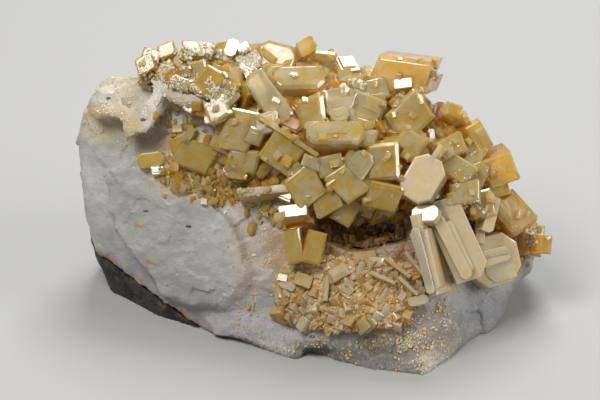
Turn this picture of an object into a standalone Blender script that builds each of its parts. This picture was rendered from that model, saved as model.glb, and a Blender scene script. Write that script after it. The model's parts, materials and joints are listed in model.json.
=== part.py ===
"""Barite on quartz: honey-yellow barite crystals grown over a block of milky vein quartz.

The tables are in millimetres and degrees, and the model is in metres with +Z up. The front of the
specimen is laid out on a plane that leans back from the viewer: across runs right, up runs up that
plane, and out comes from it towards the viewer. The block rests on its flat underside at Z = 0.
"""

import math
import random
from collections import namedtuple

import bmesh
import bpy
from mathutils import Euler, Matrix, Vector, noise
from mathutils.bvhtree import BVHTree

MM = 0.001
LAYOUT_LEAN = math.radians(30.0)
LAYOUT_HEIGHT = 29.7
RIGHT = Vector((1.0, 0.0, 0.0))
UP = Vector((0.0, math.sin(LAYOUT_LEAN), math.cos(LAYOUT_LEAN)))
OUT = Vector((0.0, -math.cos(LAYOUT_LEAN), math.sin(LAYOUT_LEAN)))
FAR_OUT = 80.0

GAP = 0.35
STONE_GAP = 0.45
WELD = 0.001
FLAT_ANGLE = math.radians(0.3)

STONE_VOXEL = 1.5
STONE_TRIANGLES = 2400
STONE_SWELL = 1.1
STONE_SWELL_SIZE = 17.0
STONE_RIPPLE = 0.45
STONE_RIPPLE_SIZE = 6.0

# Corners of the stone's lumps, in world millimetres.
MAIN_BLOCK = (
    (-47, 4, -4), (-34, -9, -4), (-15, -19, -4), (2, -26, -4), (30, -32, -4), (40, -24, -4),
    (46, -10, -4), (57, 12, -4), (50, 30, -4), (28, 38, -4), (-5, 40, -4), (-32, 34, -4), (-50, 18, -4),
    (-57, 16.5, 34), (-55, 7.5, 26), (-53, 8, 18), (-53.5, 20, 44), (-48.5, 23, 53), (-40, 21, 55),
    (-25, 22, 55), (0, 23, 52), (15, 22, 47), (35, 19, 40), (46, 13, 33), (55, 7, 21), (57, 7, 9),
    (50, -3, 3), (-25, -6, 25), (0, -9, 33), (-12.5, -17, 10.5), (24, -24, 15), (33, -17, 24),
    (-40, 32, 44), (-10, 36, 42), (25, 32, 36), (48, 24, 24), (-20, 43, 22), (15, 43, 18), (-48, 31, 24),
)
FRONT_LEDGE = (
    (-24, -14, 3), (-22, -18, 1), (-10, -23, 2), (4, -28.5, 3), (16, -30.5, 4), (19, -28, 8), (4, -25, 9),
    (-12, -18, 8), (-10, -8, 2), (10, -12, 4), (18, -18, 3), (16, -22, 10),
)
FRONT_CORNER = (
    (6, -28, -3), (14, -31, -3), (22, -34, -3), (31, -36, -3), (38, -27, -3), (42, -18, 6), (37, -24, 14),
    (33, -21, 21), (22, -25, 15), (29, -33, 5), (12, -29, 5), (10, -20, 12), (20, -10, 4), (42, -8, 10),
)
RIGHT_FIN = (
    (39, -12, -3), (47.5, -16.5, -3), (50.5, -9, 6), (50, -4, 14), (43, -13, 11), (40, 2, -3), (54, 4, -3),
    (54, 4, 12), (42, 2, 15),
)
FAR_FIN = (
    (52, 2, 2), (59, 4, 5), (61, 9, 13), (58, 4, 15), (48, 12, 2), (57, 18, 4), (57, 18, 16), (46, 4, 18),
    (46, 0, 4),
)
LEFT_SHOULDER = (
    (-56, 14, 30), (-57.5, 18, 35), (-54, 20, 46), (-50, 22, 53), (-44, 14, 46), (-38, 4, 32), (-46, 6, 28),
    (-50, 28, 40), (-40, 26, 50), (-36, 16, 50),
)
FRONT_CHIP = (
    (-12, -20.5, 0.5), (-9, -23, 3), (0, -28.5, 0.5), (-3, -26, 4), (-12, -14, 1), (0, -16, 2), (-4, -26, -3),
    (1, -24, -3),
)
WORLD_LUMPS = (
    MAIN_BLOCK, FRONT_LEDGE, FRONT_CORNER, RIGHT_FIN, FAR_FIN, LEFT_SHOULDER, FRONT_CHIP,
)

# Corners of the stone's lumps that are laid out from the front, in layout millimetres.
LEFT_FACE = (
    (-50, 6, 0), (-36, 13, 4), (-23.5, 0.5, 7), (-18, -4, 8), (-15, -9, 8.5), (-12.5, -19, 8), (-18, -27, 4),
    (-34, -26, -2), (-47, -8, -2), (-40, 0, -20), (-20, -14, -14),
)
CREST_RIDGE = (
    (-40, 32, 0), (-34, 30.5, 4), (-25, 27, 7), (-17, 22, 8), (-18.5, 19, 7), (-27, 22.5, 6), (-38, 27, 2),
    (-31, 26, -8), (-20, 20, -6),
)
STAINED_LUMP = (
    (-54, 24, -4), (-51, 29, -3), (-46, 29, -1), (-43, 24, 2), (-46, 20, 2), (-52, 20, -1), (-48, 24, -12),
)
BROWN_LUMP = (
    (-45, 20, 2), (-40, 26, 3.5), (-35, 26, 4.5), (-34, 20, 6), (-38, 16, 5.5), (-44, 15, 3), (-40, 20, -8),
)
LAYOUT_LUMPS = (LEFT_FACE, CREST_RIDGE, STAINED_LUMP, BROWN_LUMP)

# The vein's contact with the dark wall rock: a point on it, and its slope.
CONTACT_POINT = (-50.5, 10.0, 11.5)
CONTACT_NORMAL = (0.342, -0.08, 0.936)

# The vug, in layout millimetres: its mouth, well out in front of the stone, and its floor.
VUG_MOUTH = ((0, -4), (9, 2), (22, 2.5), (30, -3), (30, -12), (21, -14.5), (8, -13.5), (1, -10))
VUG_MOUTH_OUT = 24.0
VUG_FLOOR = ((6, -4), (14, 0.5), (24, -1), (25, -9), (14, -11.5), (7, -9))
VUG_FLOOR_OUT = 0.5
VUG_MIDDLE = (15.0, -6.0)
CRUST_WALL = 1.6
CRUST_RIM_OUT = 6.5
CRUST_CRYSTALS = 16
CRUST_REGION = ((6.0, 26.0), (-11.0, -1.0))
CRUST_SIZES = (1.6, 2.8)
CRUST_SEED = 11

# The intergrown beds under the barite, in layout millimetres (across, up, out).
CLUSTER_BED = (
    (-16, 33, -3), (0, 33.5, -2), (13, 28, 1), (29, 23, 0), (41, 14, 0), (48, 4, -1), (54, -3, -5),
    (52, -10, -6), (44, -3, 6), (28, 1, 12), (12, 3, 12), (0, -2, 11), (-11, 3, 8), (-19, 8, 5),
    (-21, 20, 3), (-10, 21, 6), (9, 15, 10.5), (27, 11, 11), (0, 20, -16), (30, 8, -14), (48, -4, -16),
)
CREST_BED = (
    (-40, 32, -3), (-33, 34, -4), (-24, 34.5, -4), (-12, 34, -4), (-10, 27, 4), (-20, 26, 5.5), (-28, 29.5, 3),
    (-36, 30, 0), (-26, 20, -14), (-12, 20, -14), (-36, 26, -14),
)
DRUSE_BED = (
    (-3, -15, 9), (4, -13.5, 12), (17, -15.5, 15), (29, -16, 15), (31, -24, 16), (24, -31, 17.5), (8, -33, 14),
    (-5, -29, 9), (-7, -20, 8), (12, -24, 16.5), (3, -25, 0), (24, -24, 4), (26, -18, 4), (0, -18, 0),
)
DRUSE_CRYSTALS = 36
DRUSE_REGION = ((-5.0, 31.0), (-32.0, -15.0))
DRUSE_SIZES = (2.0, 4.2)
DRUSE_SEED = 5

# A crystal's place on the layout, its edges in millimetres, and its turns in degrees: roll turns it on
# the layout plane, yaw turns its face to the right, tip turns its face up. Lift is how far that face
# stands out from what carries it.
Crystal = namedtuple("Crystal", "across up length width depth roll yaw tip lift habit")

# How far a habit's outline leans, how much its upright edges and its rim are cut back, and how far its
# face narrows to a roof.
Habit = namedtuple("Habit", "skew corners corner rim roof")
HABITS = {
    "rhomb": Habit(skew=12.0, corners=2, corner=0.12, rim=0.0, roof=1.0),
    "lean": Habit(skew=16.0, corners=0, corner=0.0, rim=0.05, roof=1.0),
    "block": Habit(skew=0.0, corners=0, corner=0.0, rim=0.0, roof=0.92),
    "hex": Habit(skew=0.0, corners=4, corner=0.24, rim=0.0, roof=0.9),
    "roof": Habit(skew=0.0, corners=0, corner=0.0, rim=0.0, roof=0.35),
    "blade": Habit(skew=8.0, corners=2, corner=0.3, rim=0.0, roof=0.85),
}

TOP_CRYSTALS = (
    Crystal(25.5, 31.3, 14.2, 9.4, 7.5, -8, -15, -8, 5.5, "lean"),
    Crystal(27.0, 20.5, 11.0, 9.0, 6.0, 44, 8, 8, 7.0, "rhomb"),
    Crystal(36.5, 18.0, 8.6, 9.4, 8.0, -20, 14, 4, 5.5, "block"),
    Crystal(43.5, 15.5, 7.4, 5.0, 7.0, -60, 22, 4, 5.0, "block"),
    Crystal(26.0, 28.2, 4.5, 2.8, 5.0, 6, -10, 20, 6.5, "block"),
    Crystal(29.2, 25.8, 3.4, 5.0, 5.0, -10, 10, 10, 7.5, "block"),
    Crystal(23.0, 28.0, 4.0, 3.0, 5.0, 25, -15, 25, 6.5, "block"),
    Crystal(-5.7, 34.6, 11.0, 9.0, 9.0, -15, -4, 18, 4.5, "hex"),
    Crystal(-8.0, 36.0, 4.6, 2.0, 3.4, -40, 0, 10, 6.5, "block"),
    Crystal(5.0, 35.0, 7.0, 5.4, 6.0, -5, 8, -4, 5.0, "rhomb"),
    Crystal(4.0, 32.4, 6.7, 2.6, 4.0, -27, 0, 20, 7.0, "block"),
    Crystal(-0.5, 29.0, 13.2, 7.6, 7.0, 2, 2, 32, 6.0, "hex"),
    Crystal(10.0, 23.6, 9.0, 8.0, 8.0, 15, -6, 12, 5.0, "hex"),
    Crystal(16.0, 22.4, 9.0, 7.8, 7.5, -22, 8, 8, 5.0, "block"),
    Crystal(18.4, 26.4, 7.0, 6.0, 7.0, 12, 4, 20, 5.0, "block"),
    Crystal(11.5, 29.6, 3.4, 5.4, 5.0, 12, 0, 24, 6.0, "block"),
    Crystal(14.6, 28.0, 3.0, 2.4, 4.0, -14, 6, 24, 6.5, "block"),
    Crystal(-7.5, 25.0, 15.4, 7.0, 5.5, -53, -10, 8, 6.0, "blade"),
    Crystal(-12.6, 34.0, 5.6, 5.4, 6.0, 20, -8, 10, 5.5, "block"),
    Crystal(-17.2, 34.6, 7.5, 6.5, 6.0, 70, -6, 10, 4.5, "hex"),
    Crystal(-14.0, 37.6, 3.0, 2.5, 4.0, 25, -6, 20, 5.0, "block"),
    Crystal(1.5, 38.0, 4.5, 4.0, 5.0, 30, 4, 10, 3.5, "rhomb"),
)
MIDDLE_CRYSTALS = (
    Crystal(8.7, 15.2, 14.4, 7.0, 7.0, 0, 0, 28, 6.5, "hex"),
    Crystal(3.2, 21.4, 7.0, 8.0, 7.0, 20, -8, 6, 5.5, "rhomb"),
    Crystal(14.8, 8.0, 8.4, 6.0, 7.0, 55, -6, 6, 6.0, "hex"),
    Crystal(21.0, 9.2, 8.0, 10.0, 8.0, 4, -10, 4, 6.0, "block"),
    Crystal(20.6, 1.2, 8.6, 6.8, 6.0, -12, -6, -8, 5.5, "rhomb"),
    Crystal(-2.7, 15.2, 17.6, 3.2, 5.0, -34, -4, 14, 6.5, "roof"),
    Crystal(-4.2, 11.2, 9.4, 8.6, 7.0, -34, -6, 6, 6.0, "block"),
    Crystal(2.8, 8.6, 5.0, 3.8, 5.0, -20, 2, 16, 6.5, "block"),
    Crystal(1.4, 3.2, 8.4, 8.8, 7.0, 40, -4, 4, 6.5, "rhomb"),
    Crystal(-8.7, 1.8, 12.4, 5.8, 6.0, 6, -8, 12, 5.0, "roof"),
    Crystal(-14.5, 17.0, 8.4, 10.6, 7.0, -12, -10, 4, 5.5, "rhomb"),
    Crystal(-14.0, 9.4, 8.0, 6.0, 5.0, -4, -8, 2, 4.5, "rhomb"),
    Crystal(11.4, 3.6, 9.0, 6.6, 7.0, -45, 0, 8, 6.0, "rhomb"),
    Crystal(11.2, -2.4, 7.0, 6.0, 6.0, 60, 4, -6, 5.0, "block"),
    Crystal(6.8, -0.4, 7.4, 6.0, 6.0, 30, -4, 2, 5.0, "rhomb"),
    Crystal(7.4, 8.0, 6.6, 5.8, 6.0, 12, 4, 10, 5.5, "block"),
    Crystal(-1.2, -3.6, 6.6, 4.2, 6.0, 8, -4, 48, 6.0, "block"),
    Crystal(-20.0, 22.0, 6.0, 5.4, 6.0, 34, -10, 10, 4.5, "rhomb"),
    Crystal(-19.0, 14.0, 5.6, 5.0, 5.0, -24, -10, 6, 4.0, "block"),
    Crystal(27.0, 13.6, 7.0, 6.0, 7.0, -30, 4, 10, 5.5, "rhomb"),
    Crystal(-8.0, 18.6, 6.0, 5.4, 5.5, 16, -8, 10, 5.0, "rhomb"),
    Crystal(15.6, 14.8, 6.4, 5.4, 6.0, -12, 4, 14, 6.0, "block"),
)
RIGHT_CRYSTALS = (
    Crystal(49.4, 8.0, 7.8, 8.2, 8.0, 21, 8, -10, 6.5, "block"),
    Crystal(52.2, -3.4, 10.6, 8.2, 8.0, -46, 24, 4, 5.5, "rhomb"),
    Crystal(58.0, -10.2, 8.0, 5.4, 6.0, 80, 30, 2, 4.5, "block"),
    Crystal(49.0, 2.4, 5.6, 3.6, 6.0, 14, 14, 0, 5.5, "block"),
    Crystal(37.4, 12.6, 7.2, 5.4, 6.0, 30, 4, 14, 6.0, "rhomb"),
    Crystal(42.4, 11.4, 6.4, 5.0, 6.0, -26, 14, 12, 5.5, "rhomb"),
    Crystal(39.0, 7.2, 8.0, 6.0, 6.5, -32, 2, 10, 6.5, "rhomb"),
    Crystal(43.6, 5.6, 7.0, 5.0, 6.0, 70, 10, 6, 6.0, "blade"),
    Crystal(40.6, 1.2, 8.0, 5.8, 6.0, 12, 6, 14, 6.0, "rhomb"),
    Crystal(45.4, -1.0, 7.0, 4.6, 6.0, 104, 14, 4, 5.5, "block"),
)
CREST_CRYSTALS = (
    Crystal(-38.4, 33.6, 4.8, 4.4, 5.0, 30, -8, 10, 3.5, "rhomb"),
    Crystal(-37.0, 35.8, 4.6, 3.6, 5.0, -12, -8, 14, 3.0, "block"),
    Crystal(-33.2, 37.0, 4.4, 3.6, 5.0, 22, -6, 14, 3.0, "rhomb"),
    Crystal(-29.6, 34.0, 5.2, 7.0, 6.0, -8, -8, 8, 4.0, "hex"),
    Crystal(-25.6, 37.2, 8.0, 4.0, 5.0, -4, -4, 20, 3.5, "block"),
    Crystal(-25.0, 31.6, 4.8, 6.4, 5.0, 10, -12, 4, 5.0, "block"),
    Crystal(-22.6, 29.0, 6.0, 8.0, 6.0, -28, -6, 6, 4.5, "rhomb"),
    Crystal(-17.4, 29.4, 7.0, 6.4, 6.0, 14, -6, 10, 4.5, "block"),
    Crystal(-18.4, 25.6, 6.2, 5.2, 6.0, -34, -8, 6, 4.5, "rhomb"),
    Crystal(-33.0, 31.6, 5.0, 4.0, 5.0, 40, -10, 8, 3.5, "rhomb"),
    Crystal(-29.0, 28.6, 5.0, 3.6, 5.0, -20, -10, 6, 3.5, "block"),
)
PALE_BLADES = (
    Crystal(38.4, -9.6, 21.5, 10.6, 7.5, -65, 6, -4, 7.0, "blade"),
    Crystal(31.2, -13.4, 20.5, 5.4, 7.0, -76, -14, -4, 7.5, "roof"),
    Crystal(48.4, -14.6, 13.0, 11.4, 7.0, 14, 24, 0, 7.0, "hex"),
    Crystal(44.4, -7.8, 6.4, 2.6, 5.0, 88, 10, 4, 6.5, "block"),
    Crystal(30.4, 4.6, 12.0, 9.6, 8.5, 60, -4, 10, 6.5, "hex"),
    Crystal(31.2, -3.2, 6.6, 5.0, 6.0, 4, 2, 46, 8.0, "hex"),
    Crystal(32.4, 9.4, 9.6, 3.2, 5.0, 56, -8, 4, 8.0, "roof"),
    Crystal(46.6, -3.6, 9.0, 3.4, 6.0, 76, 18, 0, 5.5, "blade"),
)
GOLDEN_COLUMNS = (
    Crystal(-1.2, -11.6, 8.6, 4.6, 6.0, 100, -10, 4, 6.0, "block"),
    Crystal(3.2, -11.8, 8.2, 5.2, 6.0, 76, 8, 2, 6.0, "block"),
)
DRUSE_PLATES = (
    Crystal(24.0, -17.0, 8.0, 2.4, 5.0, -38, 0, 12, 3.5, "roof"),
    Crystal(28.0, -16.0, 7.4, 2.4, 5.0, -52, 6, 10, 3.5, "roof"),
    Crystal(20.4, -19.6, 6.6, 2.4, 5.0, -24, 0, 12, 3.0, "roof"),
    Crystal(26.4, -21.4, 6.4, 2.4, 5.0, -44, 4, 8, 3.0, "roof"),
    Crystal(16.0, -14.6, 5.6, 3.0, 4.0, 6, 0, 20, 3.0, "block"),
    Crystal(6.4, -21.8, 6.4, 2.6, 4.0, 84, 6, 6, 3.0, "roof"),
    Crystal(28.8, -25.0, 5.0, 2.6, 4.0, 12, 6, 10, 2.5, "hex"),
    Crystal(9.6, -18.0, 4.6, 3.6, 4.0, 30, 0, 10, 3.0, "block"),
    Crystal(1.0, -20.0, 4.4, 3.4, 4.0, -20, -6, 8, 2.5, "block"),
)
STRIATED_PLATE = (
    Crystal(-26.0, 10.8, 10.0, 7.4, 4.5, -20, -4, 4, 2.0, "rhomb"),
    Crystal(-30.0, 14.0, 5.0, 3.6, 4.0, 30, -6, 4, 1.8, "rhomb"),
    Crystal(-27.6, 16.0, 4.6, 2.0, 4.0, 60, -4, 4, 2.4, "block"),
)
YELLOW_LENS = (
    Crystal(-37.0, 9.8, 6.6, 4.2, 4.0, 8, -4, 4, 1.4, "hex"),
)

# The crystals that wrap over the crest to the back, by their number, size range and seed.
BACK_CRYSTALS = 34
BACK_SIZES = (3.4, 7.2)
BACK_REGION = ((-34.0, 44.0), (16.0, 34.0))
BACK_SEED = 23
BACK_BED = (
    (-36, 26, 55), (-14, 27, 57), (4, 27, 55), (20, 25, 50), (36, 20, 43), (44, 14, 38), (16, 14, 50),
    (-14, 16, 56), (-34, 19, 57), (-20, 24, 40), (20, 22, 34), (-28, 34, 47), (8, 35, 43), (30, 30, 37),
    (44, 22, 32),
)
FILL_CRYSTALS = 34
FILL_SIZES = (2.6, 4.6)
FILL_REGION = ((-20.0, 50.0), (-4.0, 33.0))
FILL_SEED = 31

# A small crystal's width and depth as shares of its length, and how far it leans, in radians.
SMALL_WIDTHS = (0.6, 1.0)
SMALL_DEPTHS = (0.7, 1.1)
SMALL_LEANS = (-0.6, 0.6)


def clear_scene():
    """Starts from an empty scene."""
    for thing in list(bpy.data.objects):
        bpy.data.objects.remove(thing, do_unlink=True)


def at(across, up, out):
    """The world place, in metres, of a point of the layout."""
    return (RIGHT * across + UP * up + OUT * out + Vector((0.0, 0.0, LAYOUT_HEIGHT))) * MM


def out_of(point):
    """How far out, in millimetres, a world point lies from the layout plane."""
    return (point / MM - Vector((0.0, 0.0, LAYOUT_HEIGHT))).dot(OUT)


def material(name, colour, roughness, see_through=0.0):
    """A plain finish for one kind of mineral."""
    finish = bpy.data.materials.new(name)
    finish.use_nodes = True
    shader = finish.node_tree.nodes["Principled BSDF"]
    shader.inputs["Base Color"].default_value = (*colour, 1.0)
    shader.inputs["Roughness"].default_value = roughness
    shader.inputs["Transmission Weight"].default_value = see_through
    finish.diffuse_color = (*colour, 1.0)
    return finish


def new_object(name, bm):
    """An object in the scene from a finished bmesh, which is freed."""
    mesh = bpy.data.meshes.new(name)
    bm.to_mesh(mesh)
    bm.free()
    made = bpy.data.objects.new(name, mesh)
    bpy.context.scene.collection.objects.link(made)
    return made


def hull(name, corners):
    """The closed convex block over a set of corners given in metres."""
    bm = bmesh.new()
    for corner in corners:
        bm.verts.new(corner)
    made = bmesh.ops.convex_hull(bm, input=bm.verts)
    spare = {v for v in made["geom_interior"] + made["geom_unused"] if isinstance(v, bmesh.types.BMVert)}
    bmesh.ops.delete(bm, geom=list(spare), context="VERTS")
    bmesh.ops.recalc_face_normals(bm, faces=bm.faces)
    return new_object(name, bm)


def world_hull(name, corners):
    """A convex block whose corners are world millimetres."""
    return hull(name, [Vector(corner) * MM for corner in corners])


def layout_hull(name, corners):
    """A convex block whose corners are layout millimetres."""
    return hull(name, [at(*corner) for corner in corners])


def settle(thing):
    """Replaces an object's mesh with its evaluated one, and drops its modifiers."""
    shape = thing.evaluated_get(bpy.context.evaluated_depsgraph_get())
    mesh = bpy.data.meshes.new_from_object(shape)
    thing.modifiers.clear()
    thing.data = mesh


def combine(thing, others, operation):
    """Unites an object with others, or cuts them from it, and removes them."""
    tools = bpy.data.collections.new("tools")
    bpy.context.scene.collection.children.link(tools)
    for other in others:
        tools.objects.link(other)
    step = thing.modifiers.new("combine", "BOOLEAN")
    step.operand_type = "COLLECTION"
    step.collection = tools
    step.operation = operation
    step.solver = "EXACT"
    settle(thing)
    for other in others:
        bpy.data.objects.remove(other, do_unlink=True)
    bpy.data.collections.remove(tools)


def copy_of(thing):
    """A second object with a mesh of its own."""
    twin = thing.copy()
    twin.data = thing.data.copy()
    bpy.context.scene.collection.objects.link(twin)
    return twin


def grown(thing, amount):
    """A copy of a blunt-cornered object with its skin moved out along its normals."""
    twin = copy_of(thing)
    for vertex in twin.data.vertices:
        vertex.co += vertex.normal * amount * MM
    return twin


def volume_of(faces):
    """The signed volume inside a set of faces."""
    total = 0.0
    for face in faces:
        corners = [vertex.co for vertex in face.verts]
        for i in range(1, len(corners) - 1):
            total += corners[0].dot(corners[i].cross(corners[i + 1])) / 6.0
    return total


def bodies_of(bm):
    """The sets of faces that hang together by their edges."""
    left = set(bm.faces)
    while left:
        front = [left.pop()]
        body = list(front)
        while front:
            face = front.pop()
            for edge in face.edges:
                for other in edge.link_faces:
                    if other in left:
                        left.remove(other)
                        front.append(other)
                        body.append(other)
        yield body


def keep_one_body(thing):
    """Welds a Boolean's result and keeps its largest body, without chips and closed voids."""
    bm = bmesh.new()
    bm.from_mesh(thing.data)
    bmesh.ops.remove_doubles(bm, verts=bm.verts, dist=WELD * MM)
    bmesh.ops.dissolve_degenerate(bm, edges=bm.edges, dist=WELD * MM)
    bmesh.ops.dissolve_limit(bm, angle_limit=FLAT_ANGLE, verts=bm.verts, edges=bm.edges)
    bodies = sorted(bodies_of(bm), key=volume_of)
    for body in bodies[:-1]:
        bmesh.ops.delete(bm, geom=body, context="FACES")
    bmesh.ops.triangulate(bm, faces=bm.faces)
    bm.to_mesh(thing.data)
    bm.free()


def halved(thing, point, normal):
    """Cuts away what lies on the normal's side of a plane, and closes the cut flat."""
    bm = bmesh.new()
    bm.from_mesh(thing.data)
    geometry = bm.verts[:] + bm.edges[:] + bm.faces[:]
    cut = bmesh.ops.bisect_plane(bm, geom=geometry, plane_co=point, plane_no=normal, clear_outer=True)
    rim = [part for part in cut["geom_cut"] if isinstance(part, bmesh.types.BMEdge)]
    bmesh.ops.contextual_create(bm, geom=rim)
    bmesh.ops.triangulate(bm, faces=[face for face in bm.faces if len(face.verts) > 3])
    bmesh.ops.recalc_face_normals(bm, faces=bm.faces)
    bm.to_mesh(thing.data)
    bm.free()


def weather(thing):
    """Gives a stone its broad swells and small ripples, along its normals."""
    for vertex in thing.data.vertices:
        place = vertex.co / MM
        swell = noise.noise(place / STONE_SWELL_SIZE) * STONE_SWELL
        ripple = noise.noise(place / STONE_RIPPLE_SIZE) * STONE_RIPPLE
        vertex.co += vertex.normal * (swell + ripple) * MM


def rough_stone():
    """The whole block of vein quartz and wall rock, before its parts are cut from it."""
    lumps = [world_hull("lump", corners) for corners in WORLD_LUMPS]
    lumps += [layout_hull("lump", corners) for corners in LAYOUT_LUMPS]
    stone = lumps[0]
    combine(stone, lumps[1:], "UNION")
    remesh = stone.modifiers.new("even", "REMESH")
    remesh.mode = "VOXEL"
    remesh.voxel_size = STONE_VOXEL * MM
    settle(stone)
    weather(stone)
    thin = stone.modifiers.new("thin", "DECIMATE")
    thin.ratio = STONE_TRIANGLES / (2.0 * len(stone.data.polygons))
    settle(stone)
    halved(stone, Vector(), Vector((0.0, 0.0, -1.0)))
    keep_one_body(stone)
    return stone


def vug_shape(inset):
    """The block that the vug takes out of the stone, drawn in by an inset."""
    middle = Vector(VUG_MIDDLE)
    corners = []
    for ring, out in ((VUG_MOUTH, VUG_MOUTH_OUT), (VUG_FLOOR, VUG_FLOOR_OUT + inset)):
        for place in ring:
            spoke = Vector(place) - middle
            spoke.length -= inset
            corners.append((*(middle + spoke), out))
    return layout_hull("vug", corners)


def vug_plug():
    """The deep part of the vug, which the crystals around its mouth stay out of."""
    plug = vug_shape(0.0)
    halved(plug, at(0.0, 0.0, CRUST_RIM_OUT + GAP), OUT)
    return plug


def vug_throat():
    """The outer part of the vug, which its crust stays out of."""
    throat = vug_shape(-GAP)
    halved(throat, at(0.0, 0.0, CRUST_RIM_OUT - GAP), -OUT)
    return throat


def crystal_body(crystal, growth=0.0):
    """One crystal's shape about its own centre, as a bmesh in millimetres."""
    habit = HABITS[crystal.habit]
    bm = bmesh.new()
    bmesh.ops.create_cube(bm, size=1.0)
    size = (crystal.length + growth, crystal.width + growth, crystal.depth + growth)
    bmesh.ops.scale(bm, vec=size, verts=bm.verts)
    for vertex in bm.verts:
        if vertex.co.z > 0.0:
            vertex.co.y *= habit.roof
        vertex.co.x += vertex.co.y * math.tan(math.radians(habit.skew))
    if habit.corners:
        upright = [edge for edge in bm.edges if edge.verts[0].co.z * edge.verts[1].co.z < 0.0]
        upright.sort(key=lambda edge: -(edge.verts[0].co.x * edge.verts[0].co.y))
        bmesh.ops.bevel(
            bm, geom=upright[: habit.corners], offset=habit.corner * crystal.width, segments=1,
            affect="EDGES", clamp_overlap=True,
        )
    if habit.rim:
        rim = [edge for edge in bm.edges if min(vertex.co.z for vertex in edge.verts) > 0.0]
        bmesh.ops.bevel(bm, geom=rim, offset=habit.rim * crystal.width, segments=1, affect="EDGES")
    return bm


def facing(crystal):
    """The turn of a crystal in the world."""
    layout = Matrix((RIGHT, UP, OUT)).transposed()
    turn = Matrix.Rotation(math.radians(crystal.yaw), 3, "Y")
    turn = turn @ Matrix.Rotation(math.radians(-crystal.tip), 3, "X")
    turn = turn @ Matrix.Rotation(math.radians(crystal.roll), 3, "Z")
    return layout @ turn


def placed_crystal(crystal, carrier, growth=0.0):
    """A crystal with its face standing out from what carries it."""
    found = carrier.ray_cast(at(crystal.across, crystal.up, FAR_OUT), -OUT)[0]
    if found is None:
        found = carrier.find_nearest(at(crystal.across, crystal.up, 0.0))[0]
    centre = at(crystal.across, crystal.up, out_of(found) + crystal.lift - crystal.depth / 2.0)
    bm = crystal_body(crystal, growth)
    whole = Matrix.Translation(centre) @ facing(crystal).to_4x4() @ Matrix.Scale(MM, 4)
    bmesh.ops.transform(bm, matrix=whole, verts=bm.verts)
    return new_object("crystal", bm)


def small_crystal(draw, centre, sizes, normal):
    """A small block at a world place, turned about the surface it grows from."""
    length = draw.uniform(*sizes)
    width = length * draw.uniform(*SMALL_WIDTHS)
    depth = length * draw.uniform(*SMALL_DEPTHS)
    bm = crystal_body(Crystal(0, 0, length, width, depth, 0, 0, 0, 0, "block"))
    lean = Euler((draw.uniform(*SMALL_LEANS), draw.uniform(*SMALL_LEANS), draw.uniform(0.0, math.pi)))
    turn = normal.to_track_quat("Z", "Y").to_matrix() @ lean.to_matrix()
    whole = Matrix.Translation(centre) @ turn.to_4x4() @ Matrix.Scale(MM, 4)
    bmesh.ops.transform(bm, matrix=whole, verts=bm.verts)
    return new_object("small_crystal", bm)


def tree_of(*things):
    """A search tree over the skins of some objects."""
    bm = bmesh.new()
    for thing in things:
        bm.from_mesh(thing.data)
    tree = BVHTree.FromBMesh(bm)
    bm.free()
    return tree


def scattered_front(carrier, count, region, sizes, seed):
    """Small crystals over a stretch of the layout."""
    draw = random.Random(seed)
    made = []
    for _ in range(count):
        across = draw.uniform(*region[0])
        up = draw.uniform(*region[1])
        found, normal = carrier.ray_cast(at(across, up, FAR_OUT), -OUT)[:2]
        if found is not None:
            made.append(small_crystal(draw, found, sizes, normal))
    return made


def scattered_back(carrier, count, region, sizes, seed):
    """Small crystals over a stretch of the ground plan, on the side that faces up."""
    draw = random.Random(seed)
    made = []
    for _ in range(count):
        above = Vector((draw.uniform(*region[0]), draw.uniform(*region[1]), FAR_OUT)) * MM
        found, normal = carrier.ray_cast(above, Vector((0.0, 0.0, -1.0)))[:2]
        if found is not None:
            made.append(small_crystal(draw, found, sizes, normal))
    return made


def finished(thing, name, finish, collection):
    """Names a part, gives it its material and files it with the others."""
    thing.name = name
    thing.data.name = name
    thing.data.materials.clear()
    thing.data.materials.append(finish)
    for holder in list(thing.users_collection):
        holder.objects.unlink(thing)
    collection.objects.link(thing)
    return thing


def grown_crystals(crystals, carrier):
    """A union of crystals, each larger all round by the gap that its neighbours keep to it."""
    parts = [placed_crystal(crystal, carrier, 2.0 * GAP) for crystal in crystals]
    combine(parts[0], parts[1:], "UNION")
    return parts[0]


def centre_on_base(parts):
    """Moves the specimen so that the centre of its box is over the origin and its base at Z = 0."""
    corners = [vertex.co for part in parts for vertex in part.data.vertices]
    low = Vector([min(corner[axis] for corner in corners) for axis in range(3)])
    high = Vector([max(corner[axis] for corner in corners) for axis in range(3)])
    shift = Vector((-(low.x + high.x) / 2.0, -(low.y + high.y) / 2.0, -low.z))
    for part in parts:
        part.data.transform(Matrix.Translation(shift))


def crystal_group(crystals, carrier, cutters):
    """Crystals joined in one solid and trimmed where they meet their neighbours."""
    parts = [placed_crystal(crystal, carrier) for crystal in crystals]
    if parts[1:]:
        combine(parts[0], parts[1:], "UNION")
    combine(parts[0], [vug_plug()] + cutters, "DIFFERENCE")
    keep_one_body(parts[0])
    return parts[0]


def barite_cluster(stone, room, neighbours):
    """The main mass of barite, from the left crest over the top to the right-hand end."""
    beds = [layout_hull("bed", CLUSTER_BED), layout_hull("bed", CREST_BED), world_hull("bed", BACK_BED)]
    carrier = tree_of(stone, *beds)
    mass = beds[0]
    combine(mass, beds[1:], "UNION")
    combine(mass, [vug_shape(0.0)], "DIFFERENCE")
    table = TOP_CRYSTALS + MIDDLE_CRYSTALS + RIGHT_CRYSTALS + CREST_CRYSTALS
    crystals = [placed_crystal(crystal, carrier) for crystal in table]
    crystals += scattered_front(carrier, FILL_CRYSTALS, FILL_REGION, FILL_SIZES, FILL_SEED)
    crystals += scattered_back(carrier, BACK_CRYSTALS, BACK_REGION, BACK_SIZES, BACK_SEED)
    combine(mass, crystals, "UNION")
    combine(mass, [copy_of(room), vug_plug()] + neighbours, "DIFFERENCE")
    keep_one_body(mass)
    return mass


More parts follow.
